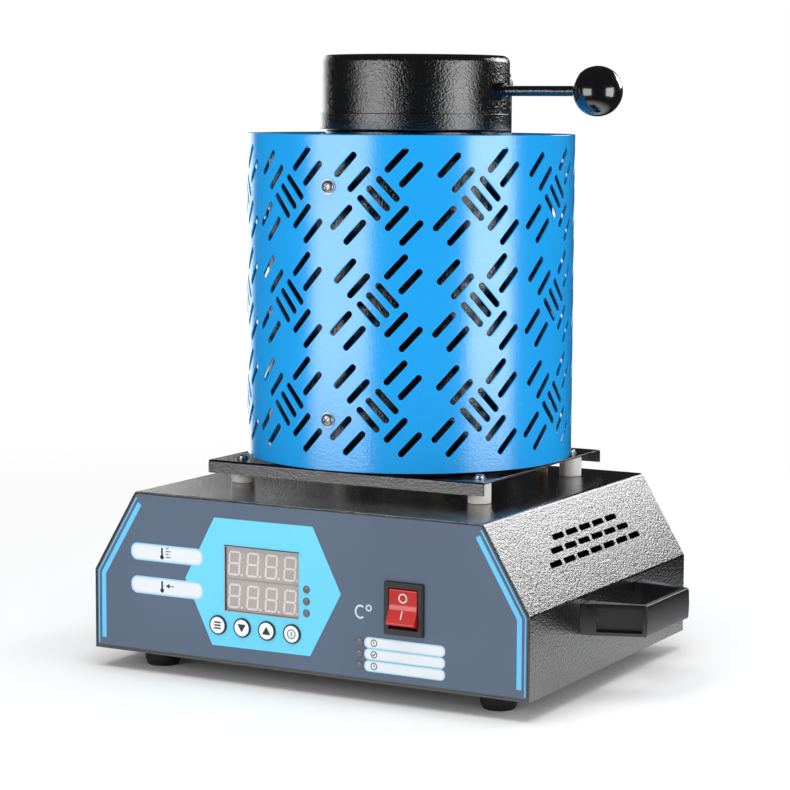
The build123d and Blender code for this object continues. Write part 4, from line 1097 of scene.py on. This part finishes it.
# Places on the front panel: x from its middle, z from the base's lower edge.
panel = {
    "hexagon": [(-61.2, 87.8), (6.9, 88.0), (26.1, 49.9), (5.4, 11.0), (-62.7, 10.4), (-81.8, 49.2)],
    "window": (-54.1, -2.3, 31.9, 71.5),
    "windowRim": 0.6,
    "bigLabels": [((-95.1, 62.5), (52.2, 10.6)), ((-95.1, 42.1), (52.2, 10.8))],
    "smallLabels": [((68.3, 23.4), (52.8, 6.7)), ((68.3, 16.6), (52.8, 6.7)), ((68.3, 9.7), (52.8, 6.7))],
    "thickStripe": (6.6, 3.0, 6.8, 91.8),       # drawn in, width, from, to
    "thinStripe": (2.9, 0.7, 3.0, 95.5),
    "degree": {"letter": (39.1, 41.0), "letterSize": (3.1, 3.6), "letterGap": 50, "stroke": 1.1,
               "ring": (44.7, 43.7), "ringRadius": 1.6},
    "sign": {"stroke": 0.55, "stem": (1.3, 5.4), "bulb": 1.35, "tick": 2.2},
    "lamps": [(2.9, 50.4), (2.9, 43.3), (2.9, 36.3), (38.6, 23.5), (38.6, 16.4), (38.6, 9.5)],
    "lampRadius": 2.4,
}
inkProud = 0.05


def ink(name, outlines, paint, body="base", place=onPanel, proud=inkProud):
    return piece(name, joined(*[slab(outline, -proud, 0.1, 0, place) for outline in outlines]), paint, body)


def labelShape(spot, size):             # a rounded label with its distance from the rim on every vertex
    wide, tall = size
    outline = leftTurning(rectangle(wide, tall, tall * 0.44, 10, spot))
    stops = [(0.1, 0.0), (-0.08, 0.0), (-0.085, tall * 0.06), (-0.09, tall * 0.14), (-0.095, tall * 0.24)]
    rings = [[onPanel(p.x, p.y, w) for p in drawnIn(outline, inset)] for w, inset in stops]
    shares = [share for share in (0.0, 0.0, 0.35, 0.8, 1.0) for p in outline]
    return loft(rings), shares


def makeLabels():
    shapes = [labelShape(spot, size) for spot, size in panel["bigLabels"] + panel["smallLabels"]]
    thing = makeObject("labels", joined(*[shape for shape, shares in shapes]))
    shade = thing.data.attributes.new("rimToMiddle", "FLOAT", "POINT")
    values = [share for shape, shares in shapes for share in shares]
    for item, value in zip(shade.data, values):
        item.value = value
    addPiece(thing, paints["labelInk"])


def makeSigns():                        # plain signs where the labels are lettered
    sign = panel["sign"]
    stroke, low = sign["stroke"], -0.12
    parts = []

    def flat(outline):
        parts.append(slab(outline, low, 0.0, 0, onPanel))

    def ring(radius, at):
        parts.append(ringSlab(radius, stroke, low, 0.0, onPanel, at))

    for i, (spot, size) in enumerate(panel["bigLabels"]):
        x, z = spot
        flat(rectangle(*sign["stem"], sign["stem"][0] / 2 - 0.01, 6, (x - 3.5, z + 0.9)))
        flat(circle(sign["bulb"], 24, (x - 3.5, z - 2.2)))
        if i == 0:
            for k in range(4):
                long = sign["tick"] * (1.0 if k % 2 else 1.6)
                flat(rectangle(long, stroke, 0, 1, (x - 0.8 + long / 2, z - 2.0 + k * 1.8)))
        else:
            flat([(x - 0.8, z + 0.8), (x + 1.9, z - 0.7), (x + 1.9, z + 2.3)])
            flat(rectangle(3.4, stroke, 0, 1, (x + 3.4, z + 0.8)))
    spots = [(spot[0] - 20.0, spot[1]) for spot, size in panel["smallLabels"]]
    for x, z in spots:
        ring(1.9, (x, z))
    flat(rectangle(stroke, 1.8, 0, 1, (spots[0][0], spots[0][1] + 0.1)))
    tick = [(-1.0, 0.1), (-0.3, -0.8), (1.1, 0.9)]
    flat(band([(spots[1][0] + a, spots[1][1] + b) for a, b in tick], stroke))
    flat(band([(spots[2][0] + a, spots[2][1] + b) for a, b in ((0, 1.2), (0, 0), (0.9, -0.4))], stroke * 0.8))
    piece("labelSigns", joined(*parts), paints["navyInk"])


def stripe(side, inset, width, low, high):      # a band that runs along the panel's side and slope
    half = base["half"] - inset
    shoulder = base["sideHeight"] - inset * (base["slant"] - base["rise"]) / base["run"]
    upper = half - base["run"] * (high - shoulder) / base["rise"]
    return band([(side * half, low), (side * half, shoulder), (side * upper, high)], width)


def makeInks():
    left, right, low, high = panel["window"]
    wide, tall, at = right - left, high - low, ((left + right) / 2, (low + high) / 2)
    field = makeObject("hexagonField", slab(panel["hexagon"], -inkProud, 0.1, 0, onPanel))
    hole = makeObject("windowTool", slab(rectangle(wide, tall, 0, 1, at), -2, 2, 0, onPanel))
    addPiece(settled(carved(field, hole)), paints["cyanInk"])
    ink("sideStripes", [stripe(side, *panel[name]) for side in (-1, 1) for name in ("thickStripe", "thinStripe")],
        paints["stripeInk"])
    degree = panel["degree"]
    gap, (x, z), (halfWide, halfTall) = degree["letterGap"], degree["letter"], degree["letterSize"]
    letter = [(x + halfWide * p.x, z + halfTall * p.y) for p in arcPoints(1.0, gap, 360 - gap, 24)]
    parts = [slab(band(letter, degree["stroke"]), -inkProud, 0.1, 0, onPanel),
             ringSlab(degree["ringRadius"], degree["stroke"] * 0.8, -inkProud, 0.1, onPanel, degree["ring"])]
    piece("degreeSign", joined(*parts), paints["paleInk"])


digits = {"wide": 8.4, "tall": 14.8, "stroke": 1.15, "gap": 0.15, "lean": 0.075, "pitch": 12.87,
          "first": -47.8, "rows": (61.2, 41.4), "dot": 0.75, "behind": 1.36}


def segment(start, end, width, gap):    # one bar with pointed ends
    a, b = Vector(start), Vector(end)
    run = (b - a).normalized()
    a, b = a + run * gap, b - run * gap
    side, half = Vector((-run.y, run.x)) * width / 2, run * width / 2
    return [a, a + half - side, b - half - side, b, b - half + side, a + half + side]


def makeDisplay():
    left, right, low, high = panel["window"]
    wide, tall = right - left, high - low
    at = ((left + right) / 2, (low + high) / 2)
    piece("displayWindow", slab(rectangle(wide - 0.2, tall - 0.2, 0.4, 3, at), -0.2, 1.0, 0.15, onPanel),
          paints["windowGrey"], "base", ["display_window"])
    rim = panel["windowRim"]
    outer, inner = rectangle(wide, tall, 0.4, 3, at), rectangle(wide - 2 * rim, tall - 2 * rim, 0.2, 3, at)
    rings = [[onPanel(p.x, p.y, w) for p in outline] for outline, w in
             ((outer, -0.1), (outer, -0.28), (inner, -0.28), (inner, -0.1))]
    piece("windowRim", loft(rings, closed=True), paints["rimInk"])
    # a navy strip along the window's top edge: a painted shadow where the window's recess falls into shade
    shade = rectangle(wide + 0.2, 0.6, 0, 1, (at[0], high + 0.2))
    ink("windowShade", [shade], paints["navyInk"], "base", onPanel, 0.3)
    behind = digits["behind"]
    halves = []
    for row in (0, 1):
        middle = low + tall * (0.25 + 0.5 * row)
        outline = rectangle(wide - 1.0, tall / 2 - 0.9, 0.3, 3, (at[0], middle))
        halves.append(slab(outline, behind, behind + 7.5, 0.2, onPanel))
    piece("digitBlocks", joined(*halves), paints["digitGround"], "base", ["digit_modules"])
    divider = rectangle(wide - 1.0, 1.0, 0, 1, (at[0], (low + high) / 2))
    piece("rowDivider", slab(divider, behind - 0.1, behind + 1.0, 0, onPanel), paints["rimInk"])
    halfWide, halfTall = (digits["wide"] - digits["stroke"]) / 2, (digits["tall"] - digits["stroke"]) / 2
    corner = {side + end: (x * halfWide + z * halfTall * digits["lean"], z * halfTall)
              for side, x in (("l", -1), ("r", 1)) for end, z in (("t", 1), ("m", 0), ("b", -1))}
    bars = [("lt", "rt"), ("lm", "rm"), ("lb", "rb"), ("lt", "lm"), ("rt", "rm"), ("lm", "lb"), ("rm", "rb")]
    shapes = [segment(corner[a], corner[b], digits["stroke"], digits["gap"]) for a, b in bars]
    shapes.append(circle(digits["dot"], 16, (digits["wide"] / 2 + 0.9, -halfTall + 0.1)))
    figure = joined(*[slab(outline, 0.0, 0.3, 0, onFront) for outline in shapes])
    places = [((digits["first"] + i * digits["pitch"], base["front"] + behind - 0.12, base["floor"] + z), (0, 0, 0))
              for z in digits["rows"] for i in range(4)]
    scattered("figures", figure, places, paints["digitPale"], even=False)


def makeLamps():
    radius = panel["lampRadius"]
    dome = [(radius * 0.96 * sin(radians(a)), -0.25 - 0.65 * cos(radians(a))) for a in range(0, 91, 15)]
    profile = [(0.0, dome[0][1])] + dome[1:] + [(radius, -0.15), (radius, 3.6), (0.0, 3.6)]
    places = [(onPanel(x, z, 0.0), (0, 0, 0)) for x, z in panel["lamps"]]
    scattered("signalLamps", lathe(profile, (0, 0, 0), "Y", 40), places, paints["lampLens"], "base",
              ["indicator_lamps"])


keys = {
    "x": {"menu": -58.3, "down": -41.3, "up": -24.1, "power": -6.8},
    "z": 23.0, "radius": 5.9, "ring": 0.95, "proud": 1.2, "flange": 7.3, "back": 1.7,
}


def keySign(name):                      # outlines about the key's middle; a number is a ring's radius
    if name == "menu":
        return [rectangle(4.6, 0.95, 0.2, 2, (0, z)) for z in (-1.75, 0, 1.75)]
    if name == "down":
        return [rounded([(-2.9, 2.2), (0, -2.6), (2.9, 2.2)], 0.3, 3)]
    if name == "up":
        return [rounded([(-2.9, -2.2), (2.9, -2.2), (0, 2.6)], 0.3, 3)]
    return [2.6, rectangle(0.55, 2.8, 0.2, 2)]


def makeKeys():
    radius, face, ring = keys["radius"], -keys["proud"], keys["ring"]
    for name, x in keys["x"].items():
        spot, body = onPanel(x, keys["z"], 0.0), name + "_key"
        inner = radius - ring
        profile = [(0, face + 0.05), (inner + 0.05, face + 0.05), (inner + 0.05, keys["back"]),
                   (keys["flange"], keys["back"]), (keys["flange"], keys["back"] + 1.0), (0, keys["back"] + 1.0)]
        shape = lathe(softProfile(profile, [0, 0.05, 0.1, 0.1, 0.1, 0]), spot, "Y", 64)
        piece(name + "KeyFace", shape, paints["keyWhite"], body, ["key_" + name])
        profile = [(inner, face), (radius, face), (radius, keys["back"] - 0.1), (inner, keys["back"] - 0.1)]
        shape = lathe(softProfile(profile, [0.1, 0.4, 0.1, 0.1]), spot, "Y", 64)
        piece(name + "KeyRing", shape, paints["navyInk"], body)
        place = onFace(Vector(spot) + Vector((0, face, 0)), Vector((1, 0, 0)), Vector((0, 0, 1)))
        parts = [ringSlab(form, 0.5, 0.0, 0.15, place) if isinstance(form, float)
                 else slab(form, 0.0, 0.15, 0, place) for form in keySign(name)]
        piece(name + "KeySign", joined(*parts), paints["navyInk"], body)


switch = {
    "x": 68.2, "z": 45.5, "bezel": (25.8, 31.3), "proud": 2.0, "house": 1.5, "deep": 24.0,
    "opening": (18.8, 23.5), "cavity": 13.0, "pivot": 3.0, "tilt": 12.0, "wide": 18.3,
    "profile": [(-7.5, 10.3), (0.0, 11.4), (3.2, 8.0), (3.2, -8.0), (0.0, -11.4), (-7.5, -10.3), (-5.2, 0.0)],
    "rounds": [0.9, 0.8, 0.8, 0.8, 0.8, 0.9, 9.0],
    "offRing": (2.45, 5.4), "onBar": (0.6, 4.8, -4.6), "pin": 1.27,
}


def makeSwitch():
    x, z, proud, house = switch["x"], switch["z"], switch["proud"], switch["house"]
    outline = rectangle(*switch["bezel"], 1.2, 5, (x, z))
    stops = [(-proud, 1.0), (-proud + 0.1, 0.6), (-proud + 0.35, 0.25), (-proud + 0.8, 0.05), (-proud + 1.2, 0.0),
             (-0.02, 0.0), (-0.02, house), (switch["deep"], house)]
    thing = makeObject("switchBezel", stacked(outline, stops, onPanel))
    opening = rectangle(*switch["opening"], 0.5, 4, (x, z))
    stops = [(-proud - 1, -0.9), (-proud + 0.15, -0.3), (-proud + 0.6, 0.0), (switch["cavity"], 0.0)]
    tool = makeObject("openingTool", stacked(opening, stops, onPanel))
    addPiece(settled(carved(thing, tool)), paints["switchBlack"], "base", ["switch_frame"])
    half = switch["wide"] / 2
    section = rounded(switch["profile"], switch["rounds"], 5)
    body = slab(section, -half, half, 0.5, onSide)
    pin = lathe([(0, -half - 1), (switch["pin"], -half - 1), (switch["pin"], half + 1), (0, half + 1)],
                (0, 0, 0), "X", 24)
    pivot = Vector(onPanel(x, z, switch["pivot"]))
    tilt = Matrix.Translation(pivot) @ Matrix.Rotation(radians(-switch["tilt"]), 4, "X")
    piece("rockerCap", moved(joined(body, pin), tilt), paints["rockerRed"], "rocker", ["switch_rocker"])
    valley, parts = Vector((0, -5.2, 0)), []
    for way in (1, -1):
        crest = Vector((0, -7.5, 10.3 * way))
        up = (crest - valley).normalized() * way
        place = onFace(valley, Vector((1, 0, 0)), up)
        if way > 0:
            radius, height = switch["offRing"]
            parts.append(ringSlab(radius, 0.6, -0.04, 0.2, place, (0, height)))
        else:
            wide, tall, height = switch["onBar"]
            parts.append(slab(rectangle(wide, tall, 0.1, 2, (0, height)), -0.04, 0.2, 0, place))
    piece("rockerMarks", moved(joined(*parts), tilt), paints["digitPale"], "rocker")


makeLabels()
makeSigns()
makeInks()
makeDisplay()
makeLamps()
makeKeys()
makeSwitch()
print("front ready")

rear = {"vents": 9, "ventX": 8.0, "ventZ": 42.0, "ventPitch": 8.0, "ventLong": 26.0, "ventWide": 3.3,
        "inletX": -70.0, "inletZ": 42.0, "flange": (50.0, 24.0), "flangeRound": 6.0, "flangeThick": 3.0,
        "housing": (27.0, 19.6), "housingDeep": 20.0, "socket": (24.4, 16.8), "socketCorner": 4.2,
        "socketDeep": 15.0, "screwX": 20.0, "pins": [(0.0, 2.4), (-7.0, -2.4), (7.0, -2.4)]}


def onRear(u, v, w):                    # from the base's lower edge and the rear panel's face, w outwards
    return (u, base["rear"] + w, base["floor"] + v)


def makeRear():
    sheet = base["sheet"]
    outline = bodyOutline(sheet + 0.1, base["floor"] + sheet)
    thing = makeObject("rearSheet", slab(outline, base["rear"] - sheet, base["rear"], 0.12, onFront, 2))
    cutter = slotCutter("rearVentTool", rear["ventLong"], rear["ventWide"], 3.0, 0.2)
    cutter.data.transform(Matrix.Rotation(pi, 4, "Z") @ Matrix.Rotation(pi / 2, 4, "Y"))
    places = [(onRear(rear["ventX"] + (i - (rear["vents"] - 1) / 2) * rear["ventPitch"], rear["ventZ"], 0.0),
               (0, 0, 0)) for i in range(rear["vents"])]
    perforated(thing, trees["perforateFlat"], cutter, places, paints["panelBlack"])
    x, z = rear["inletX"], rear["inletZ"]
    tool = makeObject("inletTool", slab(rectangle(27.6, 20.2, 1.0, 3, (x, z)), -5, 5, 0, onRear))
    addPiece(settled(carved(thing, tool)), paints["panelBlack"], "base", ["rear_panel"])
    flange = leftTurning(rectangle(*rear["flange"], rear["flangeRound"], 5, (x, z)))
    housing = leftTurning(rectangle(*rear["housing"], 0.8, 5, (x, z)))
    thick = rear["flangeThick"]
    stops = [(flange, thick, 0.8), (flange, thick - 0.2, 0.3), (flange, thick - 0.8, 0.0), (flange, 0.0, 0.0),
             (housing, 0.0, 0.0), (housing, -rear["housingDeep"], 0.0)]
    rings = [[onRear(p.x, p.y, w) for p in drawnIn(shape, inset)] for shape, w, inset in stops]
    thing = makeObject("inletBody", loft(rings))
    wide, tall = rear["socket"][0] / 2, rear["socket"][1] / 2
    cut = rear["socketCorner"]
    mouth = [(x - wide, z - tall), (x + wide, z - tall), (x + wide, z + tall - cut), (x + wide - cut, z + tall),
             (x - wide + cut, z + tall), (x - wide, z + tall - cut)]
    mouth = rounded(mouth, 0.8, 3)
    stops = [(thick + 1, -1.2), (thick - 0.3, 0.0), (-rear["socketDeep"], 0.0)]
    tool = makeObject("socketTool", stacked(mouth, stops, onRear))
    addPiece(settled(carved(thing, tool)), paints["satinBlack"], "base", ["power_inlet"])
    low, high = boxOf("inlet_pins")
    pin = stacked(rectangle(4.0, 2.0, 0.25, 2), [(0.0, 0.0), (high.y - low.y - 0.8, 0.0), (high.y - low.y, 0.4)], onFront)
    places = [((x + u, low.y, base["floor"] + z + v), (0, 0, 0)) for u, v in rear["pins"]]
    scattered("inletPins", pin, places, paints["zinc"], "base", ["inlet_pins"])


def makeSmallScrews():                  # under the floor, on the hinge's foot and beside the inlet
    places = []
    for side in (-1, 1):
        for way in (-1, 1):
            spot = (side * (base["half"] - base["sheet"] - 7), base["middle"] + way * 60.0, base["floor"])
            places.append((spot, (180, 0, spin(len(places)))))
        spot = (lidMiddle.x + side * hinge["screwX"], hinge["y"] + 0.5, drum["high"] + hinge["sheet"])
        places.append((spot, (0, 0, spin(len(places)))))
        spot = onRear(rear["inletX"] + side * rear["screwX"], rear["inletZ"], rear["flangeThick"])
        places.append((spot, (-90, spin(len(places)), 0)))
    screw = panScrew("smallScrewPart", *fasteners["m3"], 7.0)
    scattered("smallScrews", screw, places, paints["zinc"], "base", ["m3_screws"])


makeRear()
makeSmallScrews()
print("rear ready")

camera = {
    "spot": (735.1, -1348.6, 343.5),
    "azimuth": 28.65,
    "elevation": 6.61,
    "roll": 0.297,
    "lens": 113.33,
    "sensor": 36.0,
}


def makeCamera():
    data = bpy.data.cameras.new("view")
    data.lens, data.sensor_width = camera["lens"], camera["sensor"]
    data.clip_start, data.clip_end = 0.05, 60.0
    thing = bpy.data.objects.new("view", data)
    around, above = radians(camera["azimuth"]), radians(camera["elevation"])
    ahead = Vector((-sin(around) * cos(above), cos(around) * cos(above), -sin(above)))
    thing.rotation_mode = "QUATERNION"
    roll = Quaternion((0, 0, 1), radians(camera["roll"]))
    thing.rotation_quaternion = ahead.to_track_quat("-Z", "Y") @ roll
    thing.location = Vector(camera["spot"]) * mm
    bpy.context.scene.collection.objects.link(thing)
    bpy.context.scene.camera = thing


lamps = {       # azimuth from the front, elevation, distance (m), width and height (m), radiance
    "left": (-20.0, 4.0, 1.0, 0.80, 0.52, 2.7),
    "right": (84.0, 5.0, 1.0, 0.62, 0.54, 3.3),
    "rear": (160.0, 21.0, 1.9, 0.90, 0.70, 5.6),
    "top": (20.0, 80.0, 2.0, 1.7, 1.7, 3.2),
}


def makeLamp(name, around, above, distance, wide, tall, radiance):
    data = bpy.data.lights.new(name, "AREA")
    data.shape, data.size, data.size_y = "RECTANGLE", wide, tall
    data.energy = radiance * pi * wide * tall
    thing = bpy.data.objects.new(name, data)
    a, e = radians(around), radians(above)
    out = Vector((sin(a) * cos(e), -cos(a) * cos(e), sin(e)))
    thing.location = Vector((0, 0, 0.19)) + out * distance
    thing.rotation_mode = "QUATERNION"
    thing.rotation_quaternion = out.to_track_quat("Z", "Y")
    thing.visible_camera = False
    thing.visible_glossy = name != "top"        # it only fills; gloss mirrors the three at the sides
    bpy.context.scene.collection.objects.link(thing)


studio = {
    "room": 0.42,                       # light from all round
    "dim": 0.02,                        # what gloss sees in front
    "rear": (-0.743, 0.669, 0.0),
    "backdrop": (0.955, 0.972),         # where gloss meets the white backdrop, as a cosine from the rear
    "glare": 1.6,
    "floor": 0.93,
    "floorRadius": 7.0,
    "whiteFrom": (0.2, 1.1),
    "glossFrom": (0.18, 0.46),
}


def rayKinds(start):                    # camera rays, and the mirror and see-through rays together
    seen = start.node("ShaderNodeLightPath", out="Is Camera Ray")
    glossy = start.node("ShaderNodeLightPath", out="Is Glossy Ray")
    through = start.node("ShaderNodeLightPath", out="Is Transmission Ray")
    return seen, glossy.math("MAXIMUM", glossy, through)


def studioGlow(start, aim, room):       # white for the camera, dark gloss in front, white gloss at the rear
    seen, mirror = rayKinds(start)
    rear = aim.node("ShaderNodeVectorMath", {"operation": "DOT_PRODUCT"}, {0: aim, 1: studio["rear"]}, "Value")
    level = studio["dim"] + rear.between(*studio["backdrop"]) * studio["glare"]
    return seen + mirror * level + (1 - seen) * (1 - mirror) * room


def makeWorld():
    world = bpy.data.worlds.new("studio")
    world.use_nodes = True
    tree = world.node_tree
    tree.nodes.clear()
    start = Wire(tree)
    aim = start.node("ShaderNodeTexCoord", out="Generated")
    sockets = {"Color": (1, 1, 1, 1), "Strength": studioGlow(start, aim, studio["room"])}
    glow = start.node("ShaderNodeBackground", None, sockets)
    leave = tree.nodes.new("ShaderNodeOutputWorld")
    tree.links.new(glow.socket, leave.inputs["Surface"])
    bpy.context.scene.world = world


def makeFloor():
    radius = studio["floorRadius"] / mm
    mesh = bpy.data.meshes.new("floor")
    mesh.from_pydata([Vector((*p, 0.0)) * mm for p in circle(radius, 96)], [], [tuple(range(96))])
    thing = bpy.data.objects.new("floor", mesh)
    bpy.context.scene.collection.objects.link(thing)
    paint = bpy.data.materials.new("paleFloor")
    paint.use_nodes = True
    tree = paint.node_tree
    tree.nodes.clear()
    start = Wire(tree)
    place = start.node("ShaderNodeTexCoord", out="Object")
    reach = place.node("ShaderNodeVectorMath", {"operation": "LENGTH"}, {0: place}, "Value")
    aim = place.node("ShaderNodeVectorMath", {"operation": "NORMALIZE"}, {0: place})
    seen, mirror = rayKinds(start)
    far = reach.between(*studio["whiteFrom"])
    far = far + mirror * (reach.between(*studio["glossFrom"]) - far)
    tone = place.noise(300.0, 2.0).tint((studio["floor"] - 0.01,) * 3, (studio["floor"],) * 3)
    matt = start.node("ShaderNodeBsdfDiffuse", None, {"Color": tone})
    white = start.node("ShaderNodeEmission", None,
                       {"Color": (1, 1, 1, 1), "Strength": studioGlow(start, aim, studio["room"] * 2)})
    mixed = start.node("ShaderNodeMixShader", None, {"Fac": far, 1: matt, 2: white})
    leave = tree.nodes.new("ShaderNodeOutputMaterial")
    tree.links.new(mixed.socket, leave.inputs["Surface"])
    mesh.materials.append(paint)


makeCamera()
for name, sizes in lamps.items():
    makeLamp(name, *sizes)
makeWorld()
makeFloor()
bpy.context.scene.view_settings.view_transform = "Standard"
print("stage ready")
